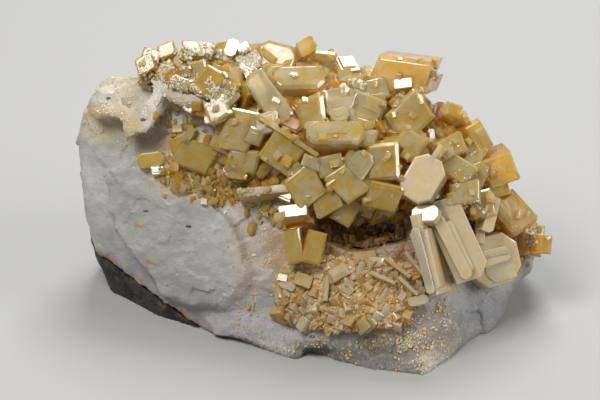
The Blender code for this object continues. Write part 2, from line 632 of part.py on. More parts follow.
def lower_druse(stone, room, neighbours):
    """The sugary druse between the vug and the front ledge, with its small radiating plates."""
    bed = layout_hull("bed", DRUSE_BED)
    carrier = tree_of(stone, bed)
    combine(bed, [vug_shape(0.0)], "DIFFERENCE")
    crystals = [placed_crystal(crystal, carrier) for crystal in DRUSE_PLATES]
    crystals += scattered_front(carrier, DRUSE_CRYSTALS, DRUSE_REGION, DRUSE_SIZES, DRUSE_SEED)
    combine(bed, crystals, "UNION")
    combine(bed, [copy_of(room), vug_plug()] + neighbours, "DIFFERENCE")
    keep_one_body(bed)
    return bed


def vug_crust(room):
    """The brown crust that lines the vug: a thin open bowl with its small crystals."""
    bowl = vug_shape(GAP)
    halved(bowl, at(0.0, 0.0, CRUST_RIM_OUT), OUT)
    combine(bowl, [vug_shape(GAP + CRUST_WALL)], "DIFFERENCE")
    carrier = tree_of(bowl)
    crystals = scattered_front(carrier, CRUST_CRYSTALS, CRUST_REGION, CRUST_SIZES, CRUST_SEED)
    combine(bowl, crystals, "UNION")
    combine(bowl, [copy_of(room), vug_throat()], "DIFFERENCE")
    keep_one_body(bowl)
    return bowl


def main():
    """Builds every part of the specimen."""
    clear_scene()
    collection = bpy.data.collections.new("barite_on_quartz")
    bpy.context.scene.collection.children.link(collection)
    honey = material("honey_barite", (0.78, 0.62, 0.22), 0.2, 0.4)
    cream = material("pale_barite", (0.82, 0.77, 0.62), 0.25, 0.3)
    milky = material("milky_quartz", (0.66, 0.66, 0.7), 0.4)
    dark = material("wall_rock", (0.09, 0.09, 0.1), 0.7)
    tan = material("tan_druse", (0.74, 0.6, 0.4), 0.5)
    brown = material("brown_crust", (0.36, 0.18, 0.06), 0.5)

    stone = rough_stone()
    room = grown(stone, STONE_GAP)
    combine(room, [vug_shape(GAP)], "DIFFERENCE")
    combine(stone, [vug_shape(0.0)], "DIFFERENCE")
    keep_one_body(stone)
    carrier = tree_of(stone)
    bed = layout_hull("bed", CLUSTER_BED)
    bed_carrier = tree_of(stone, bed)
    bpy.data.objects.remove(bed, do_unlink=True)

    blades = crystal_group(PALE_BLADES, bed_carrier, [copy_of(room)])
    columns = crystal_group(GOLDEN_COLUMNS, bed_carrier, [copy_of(room)])
    plate = crystal_group(STRIATED_PLATE, carrier, [copy_of(room)])
    lens = crystal_group(YELLOW_LENS, carrier, [copy_of(room)])
    around = (PALE_BLADES, bed_carrier), (GOLDEN_COLUMNS, bed_carrier), (STRIATED_PLATE, carrier)
    cluster = barite_cluster(stone, room, [grown_crystals(*group) for group in around])
    druse = lower_druse(stone, room, [grown_crystals(*group) for group in around[:2]])
    crust = vug_crust(room)
    bpy.data.objects.remove(room, do_unlink=True)
    rock = copy_of(stone)

    normal = Vector(CONTACT_NORMAL).normalized()
    half_gap = normal * GAP * MM / 2.0
    halved(rock, Vector(CONTACT_POINT) * MM - half_gap, normal)
    halved(stone, Vector(CONTACT_POINT) * MM + half_gap, -normal)

    parts = [
        finished(stone, "quartz_matrix", milky, collection),
        finished(rock, "wall_rock", dark, collection),
        finished(cluster, "barite_cluster", honey, collection),
        finished(blades, "pale_blades", cream, collection),
        finished(columns, "golden_columns", honey, collection),
        finished(plate, "striated_plate", honey, collection),
        finished(lens, "yellow_lens", honey, collection),
        finished(druse, "lower_druse", tan, collection),
        finished(crust, "vug_crust", brown, collection),
    ]
    centre_on_base(parts)


if __name__ == "__main__":
    main()
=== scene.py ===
import json
import logging
import math
import random
from collections.abc import Callable, Iterable
from dataclasses import dataclass, field, replace
from enum import Enum

import bmesh
import bpy
from mathutils import Euler, Matrix, Vector, noise
from mathutils.bvhtree import BVHTree

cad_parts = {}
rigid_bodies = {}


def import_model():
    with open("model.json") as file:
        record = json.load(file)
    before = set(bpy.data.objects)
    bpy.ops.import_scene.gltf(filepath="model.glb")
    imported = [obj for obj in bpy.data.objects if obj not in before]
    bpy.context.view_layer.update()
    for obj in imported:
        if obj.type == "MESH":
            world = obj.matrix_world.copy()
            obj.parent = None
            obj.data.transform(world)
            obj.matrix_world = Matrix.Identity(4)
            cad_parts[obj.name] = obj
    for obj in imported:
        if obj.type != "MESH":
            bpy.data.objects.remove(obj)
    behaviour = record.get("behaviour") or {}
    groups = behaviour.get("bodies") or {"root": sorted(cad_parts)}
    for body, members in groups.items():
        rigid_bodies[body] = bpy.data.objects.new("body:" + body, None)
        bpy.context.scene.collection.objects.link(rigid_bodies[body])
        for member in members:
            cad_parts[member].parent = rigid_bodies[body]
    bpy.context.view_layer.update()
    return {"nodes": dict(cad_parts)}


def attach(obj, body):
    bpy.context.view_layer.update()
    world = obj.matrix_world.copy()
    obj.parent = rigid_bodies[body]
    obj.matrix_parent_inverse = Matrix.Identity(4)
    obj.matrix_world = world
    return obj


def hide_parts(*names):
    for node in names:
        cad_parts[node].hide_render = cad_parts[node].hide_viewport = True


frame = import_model()

LOG = logging.getLogger("barite_on_quartz")
MM = 0.001
ROOT = "root"
NOISE_SEED = 3
MERGE = 0.001
LEVEL = 0.01

Colour = tuple[float, float, float]
Place = tuple[float, float, float]
Pair = tuple[float, float]
Start = Callable[[float, float], Vector]
Thing = bpy.types.Object
Socket = bpy.types.NodeSocket


@dataclass(frozen=True)
class Layout:
    """The plane that the specimen's front is laid out on, leaning back from the viewer, in millimetres."""

    lean: float = math.radians(30.0)
    centre: Place = (-1.996, -4.228, 29.7)
    far: float = 80.0

    @property
    def right(self) -> Vector:
        """The layout's way to the right."""
        return Vector((1.0, 0.0, 0.0))

    @property
    def up(self) -> Vector:
        """The way up the layout's plane."""
        return Vector((0.0, math.sin(self.lean), math.cos(self.lean)))

    @property
    def out(self) -> Vector:
        """The way out of the layout's plane, to the viewer."""
        return Vector((0.0, -math.cos(self.lean), math.sin(self.lean)))

    def at(self, across: float, up: float, out: float) -> Vector:
        """Finds the world place, in metres, of a place on the layout and a height out of it."""
        return (self.right * across + self.up * up + self.out * out + Vector(self.centre)) * MM

    def before(self, across: float, up: float) -> Vector:
        """Finds the place far in front of a place on the layout, where a ray to it starts."""
        return self.at(across, up, self.far)

    def out_of(self, place: Vector) -> float:
        """Measures how many millimetres out of the plane a world place lies."""
        return (place / MM - Vector(self.centre)).dot(self.out)

    def world(self, place: Place) -> Vector:
        """Shifts a place of the specimen's own plan, in millimetres, to the world, in metres."""
        return (Vector(place) + Vector((self.centre[0], self.centre[1], 0.0))) * MM


LAYOUT = Layout()


class Habit(Enum):
    """The shapes that the crystals grow in: the lean of the outline in degrees, how many upright edges are cut
    back and by what share of the width, and how far the face narrows to a roof."""

    RHOMB = (12.0, 2, 0.12, 1.0)
    LEAN = (16.0, 0, 0.0, 1.0)
    BLOCK = (0.0, 0, 0.0, 0.92)
    HEX = (0.0, 4, 0.24, 0.9)
    ROOF = (0.0, 0, 0.0, 0.35)
    BLADE = (8.0, 2, 0.3, 0.85)

    @property
    def roof(self) -> float:
        """The face's width as a share of the root's."""
        return self.value[3]


@dataclass(frozen=True)
class Crystal:
    """One crystal: its place on the layout, its edges in millimetres, its turns in degrees, how far its face
    stands out from what carries it, its habit, and its colour from cream, 0, to amber, 1 and over."""

    across: float
    up: float
    length: float
    width: float
    depth: float
    roll: float
    yaw: float
    tip: float
    lift: float
    habit: Habit = Habit.BLOCK
    tint: float = 0.5

    def turn(self) -> Matrix:
        """Reckons the crystal's turn in the world.

        Returns:
            The turn as a 3 by 3 matrix.
        """
        plane = Matrix((LAYOUT.right, LAYOUT.up, LAYOUT.out)).transposed()
        spin = Matrix.Rotation(math.radians(self.yaw), 3, "Y")
        spin = spin @ Matrix.Rotation(math.radians(-self.tip), 3, "X")
        return plane @ spin @ Matrix.Rotation(math.radians(self.roll), 3, "Z")


def plan(length: float, width: float, depth: float, habit: Habit) -> Crystal:
    """Plans a small crystal that is modelled about the origin."""
    return Crystal(0, 0, length, width, depth, 0, 0, 0, 0, habit)


# Short names of the habits, for the tables of the crystals that are placed one by one.
R, L, B, H, P, D = Habit.RHOMB, Habit.LEAN, Habit.BLOCK, Habit.HEX, Habit.ROOF, Habit.BLADE

TOP_CRYSTALS = (
    Crystal(25.5, 31.3, 14.2, 9.4, 7.5, -8, -15, -8, 5.5, L, 0.6),
    Crystal(27.0, 20.5, 11.0, 9.0, 6.0, 44, 8, 8, 7.0, R, 0.62),
    Crystal(36.5, 18.0, 8.6, 9.4, 8.0, -20, 14, 4, 5.5, B, 0.84),
    Crystal(43.5, 15.5, 7.4, 5.0, 7.0, -60, 22, 4, 5.0, B, 0.8),
    Crystal(26.0, 28.2, 4.5, 2.8, 5.0, 6, -10, 20, 6.5, B, 0.15),
    Crystal(29.2, 25.8, 3.4, 5.0, 5.0, -10, 10, 10, 7.5, B, 0.35),
    Crystal(23.0, 28.0, 4.0, 3.0, 5.0, 25, -15, 25, 6.5, B, 0.2),
    Crystal(-5.7, 34.6, 11.0, 9.0, 9.0, -15, -4, 18, 4.5, H, 0.52),
    Crystal(-8.0, 36.0, 4.6, 2.0, 3.4, -40, 0, 10, 6.5, B, 0.4),
    Crystal(5.0, 35.0, 7.0, 5.4, 6.0, -5, 8, -4, 5.0, R, 0.85),
    Crystal(4.0, 32.4, 6.7, 2.6, 4.0, -27, 0, 20, 7.0, B, 0.3),
    Crystal(-0.5, 29.0, 13.2, 7.6, 7.0, 2, 2, 32, 6.0, H, 0.3),
    Crystal(10.0, 23.6, 9.0, 8.0, 8.0, 15, -6, 12, 5.0, H, 0.15),
    Crystal(16.0, 22.4, 9.0, 7.8, 7.5, -22, 8, 8, 5.0, B, 0.2),
    Crystal(18.4, 26.4, 7.0, 6.0, 7.0, 12, 4, 20, 5.0, B, 0.35),
    Crystal(11.5, 29.6, 3.4, 5.4, 5.0, 12, 0, 24, 6.0, B, 0.1),
    Crystal(14.6, 28.0, 3.0, 2.4, 4.0, -14, 6, 24, 6.5, B, 0.1),
    Crystal(-7.5, 25.0, 15.4, 7.0, 5.5, -53, -10, 8, 6.0, D, 0.08),
    Crystal(-12.6, 34.0, 5.6, 5.4, 6.0, 20, -8, 10, 5.5, B, 0.05),
    Crystal(-17.2, 34.6, 7.5, 6.5, 6.0, 70, -6, 10, 4.5, H, 0.18),
    Crystal(-14.0, 37.6, 3.0, 2.5, 4.0, 25, -6, 20, 5.0, B, 0.1),
    Crystal(1.5, 38.0, 4.5, 4.0, 5.0, 30, 4, 10, 3.5, R, 0.5),
)
MIDDLE_CRYSTALS = (
    Crystal(8.7, 15.2, 14.4, 7.0, 7.0, 0, 0, 28, 6.5, H, 0.3),
    Crystal(3.2, 21.4, 7.0, 8.0, 7.0, 20, -8, 6, 5.5, R, 0.68),
    Crystal(14.8, 8.0, 8.4, 6.0, 7.0, 55, -6, 6, 6.0, H, 0.28),
    Crystal(21.0, 9.2, 8.0, 10.0, 8.0, 4, -10, 4, 6.0, B, 0.6),
    Crystal(20.6, 1.2, 8.6, 6.8, 6.0, -12, -6, -8, 5.5, R, 0.82),
    Crystal(-2.7, 15.2, 17.6, 3.2, 5.0, -34, -4, 14, 6.5, P, 0.6),
    Crystal(-4.2, 11.2, 9.4, 8.6, 7.0, -34, -6, 6, 6.0, B, 0.74),
    Crystal(2.8, 8.6, 5.0, 3.8, 5.0, -20, 2, 16, 6.5, B, 0.25),
    Crystal(1.4, 3.2, 8.4, 8.8, 7.0, 40, -4, 4, 6.5, R, 0.62),
    Crystal(-8.7, 1.8, 12.4, 5.8, 6.0, 6, -8, 12, 5.0, P, 0.35),
    Crystal(-14.5, 17.0, 8.4, 10.6, 7.0, -12, -10, 4, 5.5, R, 0.45),
    Crystal(-14.0, 9.4, 8.0, 6.0, 5.0, -4, -8, 2, 4.5, R, 0.5),
    Crystal(11.4, 3.6, 9.0, 6.6, 7.0, -45, 0, 8, 6.0, R, 0.6),
    Crystal(11.2, -2.4, 7.0, 6.0, 6.0, 60, 4, -6, 5.0, B, 0.72),
    Crystal(6.8, -0.4, 7.4, 6.0, 6.0, 30, -4, 2, 5.0, R, 0.66),
    Crystal(7.4, 8.0, 6.6, 5.8, 6.0, 12, 4, 10, 5.5, B, 0.56),
    Crystal(-1.2, -3.4, 7.0, 3.4, 5.0, 8, -15, 20, 7.5, B, 0.2),
    Crystal(-20.0, 22.0, 6.0, 5.4, 6.0, 34, -10, 10, 4.5, R, 0.4),
    Crystal(-19.0, 14.0, 5.6, 5.0, 5.0, -24, -10, 6, 4.0, B, 0.6),
    Crystal(27.0, 13.6, 7.0, 6.0, 7.0, -30, 4, 10, 5.5, R, 0.55),
    Crystal(-8.0, 18.6, 6.0, 5.4, 5.5, 16, -8, 10, 5.0, R, 0.4),
    Crystal(15.6, 14.8, 6.4, 5.4, 6.0, -12, 4, 14, 6.0, B, 0.45),
)
RIGHT_CRYSTALS = (
    Crystal(49.4, 8.0, 7.8, 8.2, 8.0, 21, 8, -10, 6.5, B, 0.8),
    Crystal(52.2, -3.4, 10.6, 8.2, 8.0, -46, 24, 4, 5.5, R, 0.9),
    Crystal(58.0, -10.2, 8.0, 5.4, 6.0, 80, 30, 2, 4.5, B, 0.78),
    Crystal(49.0, 2.4, 5.6, 3.6, 6.0, 14, 14, 0, 5.5, B, 0.7),
    Crystal(37.4, 12.6, 7.2, 5.4, 6.0, 30, 4, 14, 6.0, R, 0.56),
    Crystal(42.4, 11.4, 6.4, 5.0, 6.0, -26, 14, 12, 5.5, R, 0.6),
    Crystal(39.0, 7.2, 8.0, 6.0, 6.5, -32, 2, 10, 6.5, R, 0.5),
    Crystal(43.6, 5.6, 7.0, 5.0, 6.0, 70, 10, 6, 6.0, D, 0.5),
    Crystal(40.6, 1.2, 8.0, 5.8, 6.0, 12, 6, 14, 6.0, R, 0.46),
    Crystal(45.4, -1.0, 7.0, 4.6, 6.0, 104, 14, 4, 5.5, B, 0.6),
)
CREST_CRYSTALS = (
    Crystal(-38.4, 33.6, 4.8, 4.4, 5.0, 30, -8, 10, 3.5, R, 0.82),
    Crystal(-37.0, 35.8, 4.6, 3.6, 5.0, -12, -8, 14, 3.0, B, 0.7),
    Crystal(-33.2, 37.0, 4.4, 3.6, 5.0, 22, -6, 14, 3.0, R, 0.6),
    Crystal(-29.6, 34.0, 5.2, 7.0, 6.0, -8, -8, 8, 4.0, H, 0.88),
    Crystal(-25.6, 37.2, 8.0, 4.0, 5.0, -4, -4, 20, 3.5, B, 0.25),
    Crystal(-25.0, 31.6, 4.8, 6.4, 5.0, 10, -12, 4, 5.0, B, 0.3),
    Crystal(-22.6, 29.0, 6.0, 8.0, 6.0, -28, -6, 6, 4.5, R, 0.84),
    Crystal(-17.4, 29.4, 7.0, 6.4, 6.0, 14, -6, 10, 4.5, B, 0.75),
    Crystal(-18.4, 25.6, 6.2, 5.2, 6.0, -34, -8, 6, 4.5, R, 0.3),
    Crystal(-33.0, 31.6, 5.0, 4.0, 5.0, 40, -10, 8, 3.5, R, 0.5),
    Crystal(-29.0, 28.6, 5.0, 3.6, 5.0, -20, -10, 6, 3.5, B, 0.35),
)
PALE_CRYSTALS = (
    Crystal(38.4, -9.6, 21.5, 10.6, 7.5, -65, 6, -4, 7.0, D, 0.16),
    Crystal(31.2, -13.4, 20.5, 5.4, 7.0, -76, -14, -4, 7.5, P, 0.14),
    Crystal(47.4, -15.0, 13.6, 14.0, 7.0, 14, 24, 0, 7.2, H, 0.3),
    Crystal(44.4, -7.8, 6.4, 2.6, 5.0, 88, 10, 4, 6.5, B, 0.1),
    Crystal(30.4, 4.6, 12.0, 9.6, 8.5, 60, -4, 10, 6.5, H, 0.22),
    Crystal(31.2, -3.9, 6.8, 4.8, 4.0, 4, -15, 20, 11.0, H, 0.05),
    Crystal(32.4, 9.4, 9.6, 3.2, 5.0, 56, -8, 4, 8.0, P, 0.6),
    Crystal(46.6, -3.6, 9.0, 3.4, 6.0, 76, 18, 0, 5.5, D, 0.35),
)
COLUMN_CRYSTALS = (
    Crystal(-1.2, -11.6, 8.6, 4.6, 6.0, 100, -10, 4, 6.0, B, 0.78),
    Crystal(3.2, -11.8, 8.2, 5.2, 6.0, 76, 8, 2, 6.0, B, 0.88),
)
PLATE_CRYSTALS = (
    Crystal(-26.0, 10.8, 10.0, 7.4, 4.5, -20, -4, 4, 2.0, R, 0.72),
    Crystal(-30.0, 14.0, 5.0, 3.6, 4.0, 30, -6, 4, 1.8, R, 0.6),
    Crystal(-27.6, 16.0, 4.6, 2.0, 4.0, 60, -4, 4, 2.4, B, 0.1),
)
LENS_CRYSTALS = (
    Crystal(-37.0, 9.8, 6.6, 4.2, 4.0, 8, -4, 4, 1.4, H, 0.7),
)
DRUSE_PLATES = (
    Crystal(24.0, -17.0, 8.0, 2.4, 5.0, -38, 0, 12, 3.5, P, 0.45),
    Crystal(28.0, -16.0, 7.4, 2.4, 5.0, -52, 6, 10, 3.5, P, 0.4),
    Crystal(20.4, -19.6, 6.6, 2.4, 5.0, -24, 0, 12, 3.0, P, 0.5),
    Crystal(26.4, -21.4, 6.4, 2.4, 5.0, -44, 4, 8, 3.0, P, 0.4),
    Crystal(16.0, -14.6, 5.6, 3.0, 4.0, 6, 0, 20, 3.0, B, 0.95),
    Crystal(6.4, -21.8, 6.4, 2.6, 4.0, 84, 6, 6, 3.0, P, 0.2),
    Crystal(28.8, -25.0, 5.0, 2.6, 4.0, 12, 6, 10, 2.5, H, 0.15),
    Crystal(9.6, -18.0, 4.6, 3.6, 4.0, 30, 0, 10, 3.0, B, 0.5),
    Crystal(1.0, -20.0, 4.4, 3.4, 4.0, -20, -6, 8, 2.5, B, 0.4),
)

# The beds' corners on the layout: across, up and out of it. The back's are on the specimen's plan.
CLUSTER_BED = (
    (-16, 33, -3), (0, 33.5, -2), (13, 28, 1), (29, 23, 0), (41, 14, 0), (48, 4, -1), (54, -3, -5),
    (52, -10, -6), (44, -3, 6), (28, 1, 12), (12, 3, 12), (0, -2, 11), (-11, 3, 8), (-19, 8, 5),
    (-21, 20, 3), (-10, 21, 6), (9, 15, 10.5), (27, 11, 11), (0, 20, -16), (30, 8, -14), (48, -4, -16),
)
CREST_BED = (
    (-40, 32, -3), (-33, 34, -4), (-24, 34.5, -4), (-12, 34, -4), (-10, 27, 4), (-20, 26, 5.5),
    (-28, 29.5, 3), (-36, 30, 0), (-26, 20, -14), (-12, 20, -14), (-36, 26, -14),
)
BACK_BED = (
    (-36, 26, 55), (-14, 27, 57), (4, 27, 55), (20, 25, 50), (36, 20, 43), (44, 14, 38), (16, 14, 50),
    (-14, 16, 56), (-34, 19, 57), (-20, 24, 40), (20, 22, 34), (-28, 34, 47), (8, 35, 43), (30, 30, 37),
    (44, 22, 32),
)
DRUSE_BED = (
    (-3, -15, 9), (4, -13.5, 12), (17, -15.5, 15), (29, -16, 15), (31, -24, 16), (24, -31, 17.5),
    (8, -33, 14), (-5, -29, 9), (-7, -20, 8), (12, -24, 16.5), (3, -25, 0), (24, -24, 4), (26, -18, 4),
    (0, -18, 0),
)
# The corners of the vug's mouth and floor, and how far out of the layout each lies.
VUG_MOUTH = ((0, -4), (9, 2), (22, 2.5), (30, -3), (30, -12), (21, -14.5), (8, -13.5), (1, -10))
VUG_MOUTH_OUT = 24.0
VUG_FLOOR = ((6, -4), (14, 0.5), (24, -1), (25, -9), (14, -11.5), (7, -9))
VUG_FLOOR_OUT = 0.5


class Bench:
    """The few steps of modelling by hand that every piece shares."""

    @staticmethod
    def clear() -> None:
        """Leaves edit mode and selects nothing."""
        if bpy.context.object and bpy.context.object.mode != "OBJECT":
            bpy.ops.object.mode_set(mode="OBJECT")
        for thing in bpy.context.selected_objects:
            thing.select_set(False)

    @staticmethod
    def pick(*things: Thing) -> None:
        """Selects some objects only, the first of them active.

        Args:
            things: The objects.
        """
        Bench.clear()
        for thing in things:
            thing.select_set(True)
        bpy.context.view_layer.objects.active = things[0]

    @staticmethod
    def edit(thing: Thing, kind: str = "VERT") -> None:
        """Opens an object for editing with everything selected.

        Args:
            thing: The object.
            kind: What is selected: VERT, EDGE or FACE.
        """
        Bench.pick(thing)
        bpy.ops.object.mode_set(mode="EDIT")
        bpy.ops.mesh.select_mode(type=kind)
        bpy.ops.mesh.select_all(action="SELECT")

    @staticmethod
    def select(thing: Thing, kind: str, wanted: Callable) -> int:
        """Selects the parts of an open mesh that pass a test.

        Args:
            thing: The object in edit mode.
            kind: VERT, EDGE or FACE.
            wanted: Says of each part whether it is selected.

        Returns:
            How many parts are selected.
        """
        bpy.ops.mesh.select_mode(type=kind)
        bpy.ops.mesh.select_all(action="DESELECT")
        shape = bmesh.from_edit_mesh(thing.data)
        parts = {"VERT": shape.verts, "EDGE": shape.edges, "FACE": shape.faces}[kind]
        picked = [part for part in parts if wanted(part)]
        for part in picked:
            part.select_set(True)
        bmesh.update_edit_mesh(thing.data)
        return len(picked)

    @staticmethod
    def close() -> None:
        """Leaves edit mode."""
        bpy.ops.object.mode_set(mode="OBJECT")

    @staticmethod
    def apply(thing: Thing, kind: str, **values: object) -> None:
        """Puts one modifier on an object and applies it.

        Args:
            thing: The object.
            kind: The modifier's type.
            values: Its settings.
        """
        step = thing.modifiers.new(kind.lower(), kind)
        for name, value in values.items():
            setattr(step, name, value)
        Bench.pick(thing)
        bpy.ops.object.modifier_apply(modifier=step.name)

    @staticmethod
    def join(name: str, things: list[Thing]) -> Thing:
        """Joins objects into one with its place in its mesh.

        Args:
            name: The joined object's name.
            things: The objects.

        Returns:
            The joined object.
        """
        Bench.pick(*things)
        if len(things) > 1:
            bpy.ops.object.join()
        made = bpy.context.object
        made.name = name
        made.data.name = name
        bpy.ops.object.transform_apply(location=True, rotation=True, scale=True)
        return made

    @staticmethod
    def twin(source: Thing, name: str) -> Thing:
        """Copies an object with a mesh of its own.

        Args:
            source: The object, with its place in its mesh.
            name: The copy's name.

        Returns:
            The copy.
        """
        copy = bpy.data.objects.new(name, source.data.copy())
        bpy.context.scene.collection.objects.link(copy)
        return copy

    @staticmethod
    def drop(*things: Thing) -> None:
        """Removes objects that were only needed on the way."""
        for thing in things:
            bpy.data.objects.remove(thing, do_unlink=True)

    @staticmethod
    def triangles(thing: Thing) -> int:
        """Counts a mesh's triangles."""
        return sum(len(face.vertices) - 2 for face in thing.data.polygons)


def hull(name: str, corners: Iterable[Vector]) -> Thing:
    """Wraps a set of corners in a closed convex block.

    Args:
        name: The block's name.
        corners: Its corners in metres.

    Returns:
        The block.
    """
    mesh = bpy.data.meshes.new(name)
    mesh.from_pydata(list(corners), [], [])
    block = bpy.data.objects.new(name, mesh)
    bpy.context.scene.collection.objects.link(block)
    Bench.edit(block)
    bpy.ops.mesh.convex_hull(join_triangles=False)
    bpy.ops.mesh.normals_make_consistent(inside=False)
    Bench.close()
    return block


def vug_block() -> Thing:
    """Models the block that the vug takes out of the stone and the beds.

    Returns:
        The block.
    """
    corners = [LAYOUT.at(*place, VUG_MOUTH_OUT) for place in VUG_MOUTH]
    corners += [LAYOUT.at(*place, VUG_FLOOR_OUT) for place in VUG_FLOOR]
    return hull("vug_block", corners)


def fine_copy(node: str, name: str, voxel: float) -> Thing:
    """Copies a CAD node's form as one closed skin of small faces.

    Args:
        node: The CAD node.
        name: The copy's name.
        voxel: The faces' size in millimetres.

    Returns:
        The copy.
    """
    piece = Bench.twin(frame["nodes"][node], name)
    Bench.edit(piece)
    bpy.ops.mesh.remove_doubles(threshold=MERGE * MM)
    bpy.ops.mesh.normals_make_consistent(inside=False)
    Bench.close()
    Bench.apply(piece, "REMESH", mode="VOXEL", voxel_size=voxel * MM)
    return piece


def tree_of(*things: Thing) -> BVHTree:
    """Makes a search tree over the skins of some objects.

    Args:
        things: The objects, each with its place in its mesh.

    Returns:
        The tree.
    """
    shape = bmesh.new()
    for thing in things:
        shape.from_mesh(thing.data)
    tree = BVHTree.FromBMesh(shape)
    shape.free()
    return tree


def mark(thing: Thing, name: str, value: float) -> None:
    """Writes one number on every point of a mesh, for its material to read."""
    layer = thing.data.attributes.get(name) or thing.data.attributes.new(name, "FLOAT", "POINT")
    layer.data.foreach_set("value", [value] * len(thing.data.vertices))


@dataclass(frozen=True)
class BrokenSkin:
    """A broken skin for a fine mesh: tilted facets with small steps between them, on an uneven ground. The facets'
    size, the steps, the ground's swell and the height over which all fade in above the base are in millimetres."""

    cell: float
    step: float
    swell: float
    fade: float = 0.0
    warp: Pair = (1.3, 0.3)
    tilt: Pair = (5.7, 1.6)
    step_scale: float = 3.3
    ground: tuple[float, float, float, int] = (1.7, 0.8, 2.1, 4)

    def lay(self, thing: Thing) -> None:
        """Breaks a mesh's skin.

        Args:
            thing: The object, with small faces.
        """
        mesh = thing.data
        normals = [Vector(normal.vector) for normal in mesh.vertex_normals]
        places = [vertex.co.copy() for vertex in mesh.vertices]
        moved = []
        for start, normal in zip(places, normals):
            share = min(1.0, start.z / (self.fade * MM)) if self.fade else 1.0
            end = start + normal * self.rise(start / (self.cell * MM)) * MM * share
            moved.extend((end.x, end.y, max(end.z, 0.0) if self.fade else end.z))
        mesh.vertices.foreach_set("co", moved)
        mesh.update()

    def rise(self, place: Vector) -> float:
        """Reckons how far a point of the skin moves out.

        Args:
            place: Its place, with a facet's size as the unit.

        Returns:
            The distance in millimetres.
        """
        warp_scale, warp = self.warp
        tilt_scale, tilt = self.tilt
        ground_scale, roughness, gap, layers = self.ground
        centre = noise.voronoi(place + noise.noise_vector(place * warp_scale) * warp)[1][0]
        slope = noise.noise_vector(centre * tilt_scale)
        rise = ((place - centre).dot(slope) * tilt + noise.noise(centre * self.step_scale)) * self.step
        return rise + noise.fractal(place * ground_scale, roughness, gap, layers) * self.swell


